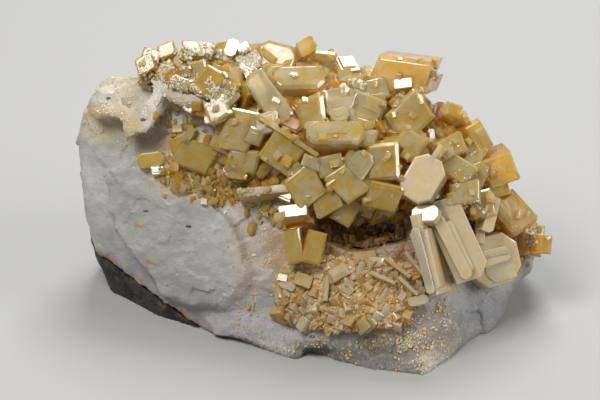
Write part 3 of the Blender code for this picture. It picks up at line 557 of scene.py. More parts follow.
@dataclass
class CrystalMaker:
    """Models crystals one by one, each from a cube that is leaned, cut back, bevelled and terraced. Lengths are in
    millimetres and angles in degrees, and a pair holds the least and the most of a random draw."""

    edge_bevel: float = 0.1
    small_bevel: float = 0.6
    sharp_edge: float = 20.0
    face_share: float = 0.98
    root: float = 3.0
    plain_below: float = 3.6
    rims: Pair = (0.04, 0.13)
    terrace_counts: tuple[int, ...] = (0, 0, 1, 1)
    terrace_height: float = 0.13
    terrace_rises: Pair = (0.5, 1.6)
    terrace_shares: Pair = (0.55, 0.9)
    terrace_slide: float = 0.9
    parent: float = 4.5
    companion_shares: Pair = (0.4, 0.72)
    companion_reach: float = 0.42
    leaf_lengths: Pair = (0.6, 0.85)
    leaf_widths: Pair = (0.15, 0.6)
    leaf_step: float = 0.12
    seed: int = 7
    draw: random.Random = field(init=False)

    def __post_init__(self) -> None:
        """Seeds the draws."""
        self.draw = random.Random(self.seed)

    def shape(self, crystal: Crystal, terraces: int, bevel: float, rim: float = 0.0) -> Thing:
        """Models a crystal about its own centre.

        Args:
            crystal: Its sizes and habit.
            terraces: How many growth steps its face carries.
            bevel: The width of its bright edges in millimetres.
            rim: How far the slope around its face is cut back, in millimetres.

        Returns:
            The crystal, at the origin.
        """
        lean, corners, corner, roof = crystal.habit.value
        Bench.clear()
        bpy.ops.mesh.primitive_cube_add(size=MM)
        body = bpy.context.object
        Bench.edit(body)
        bpy.ops.transform.resize(
            value=(crystal.length, crystal.width, crystal.depth), center_override=(0, 0, 0),
        )
        Bench.select(body, "VERT", lambda v: v.co.z > 0.0)
        bpy.ops.transform.resize(value=(1.0, roof, 1.0), center_override=(0, 0, 0))
        for side in (-1.0, 1.0):
            for top in (-1.0, 1.0):
                Bench.select(body, "VERT", lambda v: v.co.y * side > 0.0 and v.co.z * top > 0.0)
                reach = crystal.width / 2.0 * (roof if top > 0.0 else 1.0)
                slide = side * reach * math.tan(math.radians(lean)) * MM
                bpy.ops.transform.translate(value=(slide, 0.0, 0.0))
        if corners:
            Bench.select(body, "EDGE", upright if corners == 4 else acute)
            bpy.ops.mesh.bevel(offset=corner * crystal.width * MM, segments=1, affect="EDGES")
        if rim:
            highest = crystal.depth * MM / 2.0
            Bench.select(body, "EDGE", lambda e: min(v.co.z for v in e.verts) > highest * self.face_share)
            bpy.ops.mesh.bevel(offset=rim * MM, segments=1, affect="EDGES", clamp_overlap=True)
        for _ in range(terraces):
            self.terrace(body, crystal)
        if bevel:
            Bench.select(body, "EDGE", lambda e: e.calc_face_angle(0.0) > math.radians(self.sharp_edge))
            bpy.ops.mesh.bevel(offset=bevel * MM, segments=1, affect="EDGES", clamp_overlap=True)
        Bench.close()
        return body

    def terrace(self, body: Thing, crystal: Crystal) -> None:
        """Adds a growth step to the face of an open crystal.

        Args:
            body: The crystal in edit mode.
            crystal: Its sizes.
        """
        shape = bmesh.from_edit_mesh(body.data)
        highest = max(shape.faces, key=lambda f: f.calc_center_median().z)
        centre = highest.calc_center_median()
        Bench.select(body, "FACE", lambda f: f.calc_center_median().z > centre.z - LEVEL * MM)
        share = self.draw.uniform(*self.terrace_shares)
        bpy.ops.mesh.extrude_region_move(TRANSFORM_OT_translate={"value": (0.0, 0.0, 0.0)})
        bpy.ops.transform.resize(value=(share, share, 1.0), center_override=tuple(centre))
        rooms = (crystal.length * (1.0 - share) * 0.5 * MM,
                 crystal.width * (1.0 - share) * 0.5 * crystal.habit.roof * MM)
        slide = [self.draw.uniform(-room, room) * self.terrace_slide for room in rooms]
        bpy.ops.transform.translate(value=(*slide, 0.0))
        rise = self.terrace_height * self.draw.uniform(*self.terrace_rises) * MM
        bpy.ops.mesh.extrude_region_move(TRANSFORM_OT_translate={"value": (0.0, 0.0, rise)})

    def grow(self, crystal: Crystal, carrier: BVHTree, cut: float = 1.0) -> Thing:
        """Models a crystal in its place on what carries it.

        Args:
            crystal: The crystal.
            carrier: The skins that it may stand on.
            cut: What the slope around its face is scaled by.

        Returns:
            The crystal, with its place in its mesh.
        """
        found = carrier.ray_cast(LAYOUT.before(crystal.across, crystal.up), -LAYOUT.out)[0]
        if found is None:
            found = carrier.find_nearest(LAYOUT.at(crystal.across, crystal.up, 0.0))[0]
        out = LAYOUT.out_of(found) + crystal.lift - crystal.depth / 2.0
        centre = LAYOUT.at(crystal.across, crystal.up, out) - crystal.turn().col[2] * self.root * MM / 2.0
        small = min(crystal.length, crystal.width) < self.plain_below
        plain = small or crystal.habit is Habit.ROOF
        terraces = 0 if plain or cut < 1.0 else self.draw.choice(self.terrace_counts)
        rim = 0.0 if plain else self.draw.uniform(*self.rims) * crystal.width * cut
        whole = replace(crystal, depth=crystal.depth + self.root)
        body = self.shape(whole, terraces, self.edge_bevel * (self.small_bevel if small else 1.0), rim)
        return self.set_down(body, centre, crystal.turn(), crystal.tint)

    def companions(self, crystal: Crystal, chance: float) -> list[Crystal]:
        """Plans smaller crystals that grew side by side with a large one, turned almost the same way.

        Args:
            crystal: The large crystal.
            chance: How often each of two companions is there.

        Returns:
            The companions.
        """
        planned = []
        if min(crystal.length, crystal.width) < self.parent:
            return planned
        draw = self.draw.uniform
        for _ in range(2):
            if self.draw.random() > chance:
                continue
            share = draw(*self.companion_shares)
            side = self.draw.choice((0.0, 90.0, 180.0, 270.0))
            way = math.radians(crystal.roll + side + draw(-20, 20))
            reach = self.companion_reach * (crystal.length + crystal.width) / 2.0
            planned.append(replace(
                crystal, across=crystal.across + math.cos(way) * reach,
                up=crystal.up + math.sin(way) * reach,
                length=crystal.length * share, width=crystal.width * share * draw(0.8, 1.2),
                roll=crystal.roll + draw(-5, 5), yaw=crystal.yaw + draw(-6, 6),
                tip=crystal.tip + draw(-6, 6), lift=crystal.lift + draw(-1.6, 0.3),
                tint=min(1.0, max(0.0, crystal.tint + draw(-0.2, 0.15))),
            ))
        return planned

    def leaves(self, crystal: Crystal, count: int) -> list[Crystal]:
        """Plans thin leaves that lie on a tongue's face, each a little shorter than the one below it.

        Args:
            crystal: The tongue.
            count: How many leaves it carries.

        Returns:
            The leaves.
        """
        planned = []
        draw = self.draw.uniform
        way = math.radians(crystal.roll)
        for number in range(1, count + 1):
            slide = draw(-0.12, 0.12) * crystal.length
            aside = draw(-0.2, 0.2) * crystal.width
            planned.append(replace(
                crystal, across=crystal.across + math.cos(way) * slide - math.sin(way) * aside,
                up=crystal.up + math.sin(way) * slide + math.cos(way) * aside,
                length=crystal.length * draw(*self.leaf_lengths),
                width=crystal.width * draw(*self.leaf_widths),
                roll=crystal.roll + draw(-4, 4), yaw=crystal.yaw + draw(-1, 1),
                lift=crystal.lift + self.leaf_step * number,
                habit=self.draw.choice((Habit.BLADE, Habit.HEX, Habit.BLADE)),
            ))
        return planned

    def set_down(self, body: Thing, centre: Vector, turn: Matrix, tint: float, size: float = 1.0) -> Thing:
        """Moves a crystal's mesh to its place, and writes its colour and its own coordinates on it.

        Args:
            body: The crystal at the origin.
            centre: Its place in metres.
            turn: Its turn as a 3 by 3 matrix.
            tint: Its colour from cream to amber.
            size: What it is scaled by.

        Returns:
            The crystal.
        """
        places = [vertex.co.copy() for vertex in body.data.vertices]
        half = [max(abs(place[axis]) for place in places) for axis in range(3)]
        share = body.data.attributes.new("share", "FLOAT_VECTOR", "POINT")
        share.data.foreach_set("vector", [place[axis] / half[axis] for place in places for axis in range(3)])
        grain = body.data.attributes.new("grain", "FLOAT_VECTOR", "POINT")
        grain.data.foreach_set("vector", [part * size / MM for place in places for part in place])
        body.data.transform(Matrix.Translation(centre) @ turn.to_4x4() @ Matrix.Scale(size, 4))
        mark(body, "tint", tint)
        mark(body, "veil", self.draw.random())
        return body


def upright(edge: bmesh.types.BMEdge) -> bool:
    """Says whether an edge of a crystal runs from its back to its face."""
    return edge.verts[0].co.z * edge.verts[1].co.z < 0.0


def acute(edge: bmesh.types.BMEdge) -> bool:
    """Says whether an edge is an upright one at one of the outline's sharp corners."""
    return upright(edge) and edge.verts[0].co.x * edge.verts[0].co.y > 0.0


@dataclass
class Spot:
    """Where one small crystal or grain goes, in metres, with its turn, size and colour."""

    centre: Vector
    turn: Matrix
    size: float
    tint: float


@dataclass
class Swarm:
    """Small crystals modelled a few times over and copied, each copy with its own mesh."""

    maker: CrystalMaker
    models: tuple[Crystal, ...]
    terraces: int = 0
    bevel: float = 0.0

    def build(self, name: str, spots: list[Spot]) -> Thing:
        """Copies the models to their spots and joins the copies.

        Args:
            name: The joined piece's name.
            spots: Where the copies go.

        Returns:
            The piece.
        """
        models = [self.maker.shape(model, self.terraces, self.bevel) for model in self.models]
        copies = []
        for number, spot in enumerate(spots):
            copy = Bench.twin(models[number % len(models)], name)
            copies.append(self.maker.set_down(copy, spot.centre, spot.turn, spot.tint, spot.size))
        Bench.drop(*models)
        return Bench.join(name, copies)


@dataclass(frozen=True)
class Rain:
    """Rays that place small crystals: how many are cast, the crystals' sizes in millimetres and tints, and the
    share of its size that a crystal's centre lies below the skin."""

    rays: int
    sizes: Pair
    tints: Pair
    sunk: float = 0.1


def field_of(corner: Pair, reach: Pair, place: Start = LAYOUT.before) -> Start:
    """Spreads rays evenly over a rectangle.

    Args:
        corner: Its first corner in millimetres.
        reach: Its width and height.
        place: Turns a place on the rectangle into a ray's start in metres.

    Returns:
        What turns two numbers from 0 to 1 into a ray's start.
    """
    return lambda a, b: place(corner[0] + reach[0] * a, corner[1] + reach[1] * b)


def patch_of(middle: Pair, reach: Pair, even: bool = True) -> Start:
    """Spreads rays over an oval patch of the front.

    Args:
        middle: Its middle on the layout, in millimetres.
        reach: Its half width and half height.
        even: Whether the rays are spread evenly, or closest at the middle.

    Returns:
        What turns two numbers from 0 to 1 into a ray's start.
    """
    def start(a: float, b: float) -> Vector:
        """Finds where a ray starts.

        Args:
            a: The share of the way round.
            b: The share of the way out.

        Returns:
            The start in metres.
        """
        way, share = a * math.tau, math.sqrt(b) if even else b
        across = middle[0] + math.cos(way) * share * reach[0]
        return LAYOUT.before(across, middle[1] + math.sin(way) * share * reach[1])

    return start


NEIGHBOURS = tuple((x, y, z) for x in (-1, 0, 1) for y in (-1, 0, 1) for z in (-1, 0, 1))


@dataclass
class Shower:
    """Finds places for small crystals on a skin, by rays from one side, each a given distance from the others.
    The crystals lean together in patches."""

    tree: BVHTree
    wanted: Callable[[int], bool]
    apart: float
    seed: int
    lean: float = 0.5
    patch: float = 8.0
    sway: float = 0.12
    spin: float = 0.3
    variety: tuple[float, ...] = (0.7, 0.85, 1.0, 1.0, 1.25)
    taken: dict[tuple[int, ...], list[Vector]] = field(default_factory=dict)
    draw: random.Random = field(init=False)

    def __post_init__(self) -> None:
        """Seeds the rays."""
        self.draw = random.Random(self.seed)

    def free(self, place: Vector) -> bool:
        """Says whether a place is far enough from all others, and takes it if it is.

        Args:
            place: The place in metres.

        Returns:
            Whether it was free.
        """
        cell = tuple(int(math.floor(part / (self.apart * MM))) for part in place)
        for shift in NEIGHBOURS:
            near = self.taken.get(tuple(a + b for a, b in zip(cell, shift)), ())
            if any((place - other).length < self.apart * MM for other in near):
                return False
        self.taken.setdefault(cell, []).append(place)
        return True

    def fall(self, rain: Rain, start: Start, way: Vector = -LAYOUT.out) -> list[Spot]:
        """Drops small crystals on the skin.

        Args:
            rain: The rays' count and the crystals' sizes, tints and depth.
            start: Turns two numbers from 0 to 1 into a ray's start in metres.
            way: The rays' direction.

        Returns:
            The spots that were hit and free.
        """
        spots = []
        sway, spin = self.sway, self.spin
        for _ in range(rain.rays):
            origin = start(self.draw.random(), self.draw.random())
            found, normal, index, _ = self.tree.ray_cast(origin, way)
            if found is None or not self.wanted(index) or not self.free(found):
                continue
            size = self.draw.uniform(*rain.sizes) * self.draw.choice(self.variety)
            habit = noise.cell_vector(found / (self.patch * MM))
            turn = Euler((
                (habit.x - 0.5) * 2.0 * self.lean + self.draw.uniform(-sway, sway),
                (habit.y - 0.5) * 2.0 * self.lean + self.draw.uniform(-sway, sway),
                habit.z * math.tau + self.draw.uniform(-spin, spin),
            )).to_matrix()
            turn = normal.to_track_quat("Z", "Y").to_matrix() @ turn
            centre = found - normal * size * rain.sunk * MM
            spots.append(Spot(centre, turn, size, self.draw.uniform(*rain.tints)))
        return spots


class Recipe:
    """A material built step by step, with its places in millimetres. Its steps take sockets or plain values. In a
    finish's steps the first number of noise and cells is a size in millimetres, and those of ramp are two ranges."""

    def __init__(self, name: str) -> None:
        """Starts a material from the plain shader.

        Args:
            name: The material's name.
        """
        self.material = bpy.data.materials.new(name)
        self.material.use_nodes = True
        self.nodes = self.material.node_tree.nodes
        self.links = self.material.node_tree.links
        self.shader = self.nodes["Principled BSDF"]
        coordinates = self.nodes.new("ShaderNodeTexCoord").outputs["Object"]
        self.place = self.mapped(coordinates, scale=(1.0 / MM,) * 3)
        lean = LAYOUT.lean - math.radians(90.0)
        shift = Matrix.Rotation(lean, 3, "X") @ Vector(LAYOUT.centre)
        self.layout = self.mapped(self.place, location=tuple(-shift), rotation=(lean, 0.0, 0.0))

    def feed(self, socket: Socket, value: object) -> None:
        """Links a socket to another, or sets its value.

        Args:
            socket: The socket that is fed.
            value: Another socket, a number, a vector or a colour.
        """
        if isinstance(value, Socket):
            self.links.new(value, socket)
        elif isinstance(value, tuple) and len(value) == 3 and socket.type == "RGBA":
            socket.default_value = (*value, 1.0)
        else:
            socket.default_value = value

    def node(self, kind: str, output: int | str, inputs: dict[int | str, object], **settings: object) -> Socket:
        """Adds a node.

        Args:
            kind: Its type, without the first part that all types share.
            output: The output that is wanted.
            inputs: What its inputs are fed.
            settings: Its settings.

        Returns:
            The output.
        """
        made = self.nodes.new(f"ShaderNode{kind}")
        for name, value in settings.items():
            setattr(made, name, value)
        for name, value in inputs.items():
            self.feed(made.inputs[name], value)
        return made.outputs[output]

    def set(self, **values: object) -> None:
        """Feeds the shader's sockets, each by its name with _ for a space."""
        for name, value in values.items():
            self.feed(self.shader.inputs[name.replace("_", " ")], value)

    def mapped(self, vector: object, location: Place = (0.0, 0.0, 0.0), rotation: Place = (0.0, 0.0, 0.0),
               scale: Place = (1.0, 1.0, 1.0)) -> Socket:
        """Scales, turns and then shifts a vector."""
        return self.node("Mapping", "Vector", {"Vector": vector, "Location": location, "Rotation": rotation,
                                               "Scale": scale})

    def attribute(self, name: str, output: str = "Fac") -> Socket:
        """Reads a number or a vector that is written on the mesh."""
        return self.node("Attribute", output, {}, attribute_name=name)

    def math(self, operation: str, a: object, b: object = 0.0, c: object = 0.0, clamp: bool = False) -> Socket:
        """Does one step of arithmetic."""
        return self.node("Math", 0, {0: a, 1: b, 2: c}, operation=operation, use_clamp=clamp)

    def times(self, a: object, b: object) -> Socket:
        """Multiplies two numbers."""
        return self.math("MULTIPLY", a, b)

    def plus(self, a: object, b: object) -> Socket:
        """Adds two numbers."""
        return self.math("ADD", a, b)

    def vector(self, operation: str, a: object, b: Place = (0.0, 0.0, 0.0), output: str = "Vector") -> Socket:
        """Does one step of arithmetic with vectors."""
        return self.node("VectorMath", output, {0: a, 1: b}, operation=operation)

    def along(self, vector: object, way: Place) -> Socket:
        """Measures a vector along a direction."""
        return self.vector("DOT_PRODUCT", vector, way, "Value")

    def part(self, vector: object, axis: str) -> Socket:
        """Takes one part of a vector."""
        return self.node("SeparateXYZ", axis, {0: vector})

    def noise(self, size: float, detail: float = 3.0, rough: float = 0.55, twist: float = 0.0,
              place: Socket | None = None) -> Socket:
        """Makes clouds of a size in millimetres."""
        return self.node("TexNoise", "Fac", {"Vector": place or self.place, "Scale": 1.0 / size,
                                             "Detail": detail, "Roughness": rough, "Distortion": twist})

    def cells(self, size: float) -> Socket:
        """Makes grains of a size in millimetres."""
        return self.node("TexVoronoi", "Distance", {"Vector": self.place, "Scale": 1.0 / size})

    def ramp(self, value: object, low: float, high: float, start: float = 0.0, end: float = 1.0) -> Socket:
        """Turns a range of values smoothly into another.

        Args:
            value: The value.
            low: Where its range starts.
            high: Where its range ends.
            start: What the range's start becomes.
            end: What the range's end becomes.

        Returns:
            The new value.
        """
        return self.node("MapRange", "Result", {"Value": value, "From Min": low, "From Max": high,
                                                "To Min": start, "To Max": end},
                         interpolation_type="SMOOTHSTEP")

    def mix(self, share: object, a: object, b: object) -> Socket:
        """Mixes two colours."""
        return self.node("Mix", 2, {"Factor": share, 6: a, 7: b}, data_type="RGBA")

    def spot(self, centre: Pair, radii: Pair, ragged: float = 0.5, size: float = 4.0) -> Socket:
        """Masks a ragged patch of the front.

        Args:
            centre: Its place across and up the layout, in millimetres.
            radii: Its reach across and up.
            ragged: How far its edge is broken up, as a share of its reach.
            size: The size of the breaks in millimetres.

        Returns:
            The mask.
        """
        off = self.vector("SUBTRACT", self.layout, (*centre, 0.0))
        reach = self.vector("LENGTH", self.vector("DIVIDE", off, (*radii, 1000.0)), output="Value")
        breaks = self.plus(self.noise(size, 5.0, 0.7), self.noise(size * 0.22, 3.0, 0.7))
        edge = self.math("MULTIPLY_ADD", breaks, ragged * 2.4, -ragged * 2.4)
        return self.ramp(self.plus(reach, edge), 1.2, 0.6)

    def bump(self, height: object, depth: float, strength: float = 1.0, under: Socket | None = None) -> Socket:
        """Raises a height by a depth in millimetres, over another bump if one is given."""
        inputs = {"Height": height, "Distance": depth * MM, "Strength": strength}
        return self.node("Bump", "Normal", inputs | ({"Normal": under} if under else {}))


@dataclass(frozen=True)
class Barite:
    """Translucent barite: paler in the middle of a face, yellower at its edges and darker amber towards its root as
    painted shade in the recesses between crystals, with white veils, fine streaks and planes of cleavage."""

    name: str
    pale: Colour = (1.0, 0.82, 0.47)
    honey: Colour = (1.0, 0.66, 0.11)
    amber: Colour = (0.9, 0.45, 0.04)
    veil: Colour = (0.94, 0.87, 0.66)
    streak: Colour = (0.96, 0.87, 0.56)
    plane: Colour = (0.96, 0.93, 0.8)
    absorbed: Colour = (0.99, 0.78, 0.34)
    through: float = 0.7
    roughness: float = 0.1
    density: float = 26.0
    # How strongly each crystal darkens to amber towards its root: painted shade in the recesses between crystals.
    root: float = 0.85
    veils: float = 0.6
    streaks: float = 0.3
    planes: float = 0.5
    index: float = 1.64
    milk: float = 0.7
    milk_radii: Place = (0.85, 0.85, 0.8)
    milk_depth: float = 0.0014
    gloss: float = 0.35
    gloss_roughness: float = 0.03

    def make(self) -> bpy.types.Material:
        """Builds the material.

        Returns:
            The material.
        """
        recipe = Recipe(self.name)
        share = recipe.attribute("share", "Vector")
        grain = recipe.attribute("grain", "Vector")
        clouds = recipe.noise(3.2, 4.0, 0.6, 0.6)
        edge = recipe.math("MAXIMUM", recipe.math("ABSOLUTE", recipe.part(share, "X")),
                           recipe.math("ABSOLUTE", recipe.part(share, "Y")))
        edge = recipe.ramp(recipe.math("MULTIPLY_ADD", clouds, 0.3, edge), 0.75, 1.2)
        depth = recipe.plus(recipe.attribute("tint"), recipe.math("MULTIPLY_ADD", edge, 0.3, -0.12))
        depth = recipe.plus(depth, recipe.ramp(clouds, 0.36, 0.64, -0.34, 0.4))
        body = recipe.mix(recipe.ramp(depth, 0.0, 0.95), self.pale, self.honey)
        body = recipe.mix(recipe.ramp(depth, 0.95, 1.6), body, self.amber)
        # Painted shade: amber darkening towards each crystal's root, in the recesses between crystals.
        body = recipe.mix(recipe.ramp(recipe.part(share, "Z"), 0.85, -0.5, 0.0, self.root), body, self.amber)
        veils = recipe.times(recipe.ramp(recipe.noise(1.6, 5.0, 0.7), 0.56, 0.74), recipe.attribute("veil"))
        body = recipe.mix(recipe.times(veils, self.veils), body, self.veil)
        streaks = recipe.noise(0.7, 4.0, 0.6, 0.4, recipe.mapped(grain, scale=(0.16, 1.0, 0.5)))
        body = recipe.mix(recipe.ramp(streaks, 0.5, 0.72, 0.0, self.streaks), body, self.streak)
        planes = recipe.noise(1.1, 3.0, 0.6, 0.1, recipe.mapped(grain, scale=(1.0, 0.04, 0.3)))
        planes = recipe.times(recipe.ramp(planes, 0.58, 0.66), recipe.ramp(clouds, 0.42, 0.6))
        body = recipe.mix(recipe.times(planes, self.planes), body, self.plane)
        normal = recipe.bump(streaks, 0.12, 0.5)
        normal = recipe.bump(recipe.noise(0.45, 3.0), 0.03, 0.5, normal)
        normal = recipe.bump(recipe.noise(3.5, 2.0), 0.16, 0.5, normal)
        rough = recipe.ramp(recipe.noise(1.8, 4.0), 0.35, 0.7, self.roughness * 0.5, self.roughness * 1.8)
        recipe.set(
            Base_Color=body, Roughness=rough, Normal=normal, IOR=self.index, Transmission_Weight=self.through,
            Subsurface_Weight=self.milk, Subsurface_Radius=self.milk_radii, Subsurface_Scale=self.milk_depth,
            Coat_Weight=self.gloss, Coat_Roughness=self.gloss_roughness,
        )
        volume = recipe.node("VolumeAbsorption", 0, {"Color": self.absorbed, "Density": self.density})
        recipe.links.new(volume, recipe.nodes["Material Output"].inputs["Volume"])
        return recipe.material


@dataclass(frozen=True)
class Bed:
    """The fine-grained barite between the crystals: amber clouded with brown, its deep tones partly painted shade in
    the recesses between the crystals.
    """

    name: str
    pale: Colour = (0.72, 0.46, 0.12)
    deep: Colour = (0.42, 0.18, 0.02)
    grain: Colour = (0.74, 0.6, 0.34)
    grain_size: float = 0.8

    def make(self) -> bpy.types.Material:
        """Builds the material.

        Returns:
            The material.
        """
        recipe = Recipe(self.name)
        clouds = recipe.noise(5.0, 5.0, 0.6, 0.5)
        grains = recipe.cells(self.grain_size)
        # Amber clouded with brown: the dark tones partly stand in as painted shade between the crystals.
        body = recipe.mix(recipe.ramp(clouds, 0.4, 0.62), self.deep, self.pale)
        body = recipe.mix(recipe.ramp(grains, 0.2, 0.6, 0.0, 0.4), body, self.grain)
        normal = recipe.bump(grains, 0.3, 0.8)
        normal = recipe.bump(recipe.noise(0.3, 2.0), 0.1, 0.5, normal)
        rough = recipe.ramp(clouds, 0.3, 0.7, 0.3, 0.55)
        recipe.set(
            Base_Color=body, Roughness=rough, Normal=normal, IOR=1.6, Subsurface_Weight=0.2,
            Subsurface_Radius=(1.0, 0.6, 0.2), Subsurface_Scale=0.002,
        )
        return recipe.material


@dataclass(frozen=True)
class Contact:
    """The rusty contact between the quartz and the wall rock: a point of it in millimetres and its way up."""

    point: Place = (-50.5, 10.0, 11.5)
    way: Place = (0.342, -0.08, 0.936)

    def off(self, recipe: Recipe) -> Socket:
        """Measures how many millimetres over the contact a point of the stone lies.

        Args:
            recipe: The material that is built.

        Returns:
            The distance.
        """
        way = Vector(self.way).normalized()
        height = LAYOUT.world(self.point).dot(way) / MM
        return recipe.math("SUBTRACT", recipe.along(recipe.place, tuple(way)), height)


@dataclass(frozen=True)
class MilkyQuartz:
    """Massive vein quartz: milky grey-white, grainy and iron-stained along its contact and its top, darker towards
    the bottom by painted shade, with some patches of painted shade, painted shadow and painted highlight.
    """

    name: str
    grey: Colour = (0.36, 0.355, 0.345)
    milk: Colour = (0.43, 0.425, 0.41)
    frost: Colour = (0.6, 0.59, 0.57)
    shade: Colour = (0.19, 0.185, 0.2)
    # Painted shade: the colour that the front darkens to towards the bottom.
    rust: Colour = (0.18, 0.08, 0.02)
    ochre: Colour = (0.6, 0.34, 0.09)
    speck: Colour = (0.05, 0.045, 0.04)
    fleck: Colour = (0.5, 0.36, 0.14)
    contact: Contact = Contact()

    def make(self) -> bpy.types.Material:
        """Builds the material.

        Returns:
            The material.
        """
        recipe = Recipe(self.name)
        fine = recipe.noise(2.4, 5.0, 0.65)
        body = recipe.mix(recipe.ramp(recipe.noise(11.0, 5.0, 0.55, 0.8), 0.36, 0.64), self.grey, self.milk)
        body = recipe.mix(recipe.ramp(fine, 0.56, 0.76, 0.0, 0.35), body, self.frost)
        height = recipe.part(recipe.layout, "Y")
        # Painted shade: the front darkens towards the bottom, where less light falls.
        body = recipe.mix(recipe.ramp(height, -12.0, -34.0, 0.0, 0.45), body, self.shade)
        sugar = recipe.ramp(recipe.noise(0.6, 3.0, 0.6), 0.36, 0.6, 0.35, 1.0)
        front = recipe.times(recipe.ramp(recipe.part(recipe.layout, "Z"), -22.0, -14.0), sugar)
        # Stains, with the patches of painted shade, painted shadow and painted highlight that are listed among them.
        for centre, radii, colour, weight in QUARTZ_STAINS_AND_PAINTED_LIGHT:
            mask = recipe.times(recipe.spot(centre, radii), front)
            body = recipe.mix(recipe.times(mask, weight), body, colour)
        ragged = recipe.math("MULTIPLY_ADD", recipe.noise(3.0, 4.0), 4.0, -2.0)
        off = recipe.plus(self.contact.off(recipe), ragged)
        rust = recipe.times(recipe.ramp(off, 2.6, 0.4), recipe.ramp(recipe.noise(5.0, 3.0), 0.38, 0.6))
        body = recipe.mix(rust, body, recipe.mix(recipe.noise(1.4, 4.0), self.rust, self.ochre))
        for centre, radii in QUARTZ_SPECKS:
            body = recipe.mix(recipe.spot(centre, radii, 0.6, 0.6), body, self.speck)
        flecks = recipe.ramp(recipe.cells(2.2), 0.12, 0.05, 0.0, 0.5)
        flecks = recipe.times(flecks, recipe.ramp(recipe.noise(14.0, 2.0), 0.55, 0.65))
        body = recipe.mix(flecks, body, self.fleck)
        normal = recipe.bump(recipe.noise(0.9, 6.0, 0.75), 0.45, 0.7)
        normal = recipe.bump(recipe.cells(0.7), 0.12, 0.5, normal)
        recipe.set(
            Base_Color=body, Roughness=recipe.ramp(fine, 0.35, 0.7, 0.28, 0.5), Normal=normal, IOR=1.54,
            Subsurface_Weight=0.15, Subsurface_Radius=(1.0, 0.95, 0.9), Subsurface_Scale=0.0015,
        )
        return recipe.material


# Stains on the quartz's front, and patches of painted shade, painted shadow and painted highlight: a patch's middle
# and reach on the layout, its colour and its weight.
QUARTZ_STAINS_AND_PAINTED_LIGHT = (
    ((-45.0, 24.0), (13.0, 9.5), (0.5, 0.4, 0.2), 0.8),
    ((-41.5, 22.0), (5.0, 4.5), (0.42, 0.36, 0.27), 0.6),
    ((-49.0, 26.5), (4.2, 3.2), (0.5, 0.49, 0.47), 0.8),
    ((-48.5, 21.4), (5.5, 2.6), (0.58, 0.4, 0.2), 0.7),
    ((-42.0, 18.8), (6.0, 2.4), (0.54, 0.4, 0.15), 0.6),
    ((-51.0, 16.2), (5.5, 2.2), (0.56, 0.5, 0.26), 0.6),
    ((-35.0, 15.0), (8.0, 4.0), (0.62, 0.53, 0.3), 0.5),
    ((-36.0, 20.5), (3.4, 5.4), (0.58, 0.56, 0.56), 0.8),
    # Partly painted highlight: this pale band on the crest's ridge is white druse, lightened further where the light
    # from above falls.
    ((-28.0, 26.5), (12.0, 3.6), (0.66, 0.64, 0.6), 0.85),
    ((-30.5, 25.0), (4.6, 3.6), (0.62, 0.38, 0.2), 0.7),
    ((-24.0, 22.0), (4.4, 2.6), (0.72, 0.45, 0.2), 0.6),
    ((-30.0, 5.0), (8.0, 5.0), (0.62, 0.5, 0.26), 0.55),
    ((-24.0, 2.6), (9.0, 3.0), (0.55, 0.36, 0.12), 0.6),
    ((-11.0, -10.0), (7.0, 14.0), (0.47, 0.38, 0.3), 0.8),
    ((-4.0, -32.0), (23.0, 3.6), (0.42, 0.38, 0.4), 0.7),
    ((20.4, -32.0), (2.0, 1.6), (0.8, 0.55, 0.04), 0.95),
    # Painted shade: a dark patch that darkens the bottom right.
    ((27.0, -33.0), (13.0, 8.0), (0.25, 0.21, 0.14), 0.85),
    ((32.5, -39.5), (3.4, 2.4), (0.62, 0.61, 0.58), 0.9),
    # Painted shadow: two grey patches on the shaded fins at the right.
    ((46.0, -26.0), (9.0, 8.0), (0.2, 0.2, 0.22), 0.8),
    ((58.0, -17.0), (6.0, 5.0), (0.26, 0.26, 0.29), 0.7),
    ((-27.0, 10.0), (12.0, 8.0), (0.6, 0.43, 0.15), 0.75),
    ((-19.0, 5.0), (9.0, 6.0), (0.42, 0.22, 0.04), 0.85),
    ((16.0, -9.0), (19.0, 8.5), (0.3, 0.14, 0.03), 0.95),
    ((29.0, -14.0), (5.0, 10.0), (0.22, 0.1, 0.015), 0.95),
    ((-6.0, -12.5), (3.0, 6.0), (0.4, 0.22, 0.06), 0.7),
    # Painted shade: two dark patches along the bottom edge.
    ((5.0, -37.5), (20.0, 3.0), (0.16, 0.145, 0.11), 0.8),
    ((19.0, -35.5), (6.0, 2.4), (0.1, 0.07, 0.03), 0.85),
    ((-8.0, -37.5), (6.0, 2.6), (0.55, 0.54, 0.52), 0.9),
    ((-40.0, -6.2), (2.0, 1.2), (0.5, 0.36, 0.12), 0.6),
    ((-38.0, -15.5), (2.6, 1.2), (0.52, 0.38, 0.14), 0.6),
)
QUARTZ_SPECKS = (
    ((-48.0, 25.4), (0.8, 0.4)), ((-39.0, 20.0), (0.8, 0.5)), ((-38.5, -2.8), (0.8, 0.3)),
    ((-27.8, -6.6), (0.9, 0.4)), ((3.0, -33.8), (0.8, 0.4)),
)


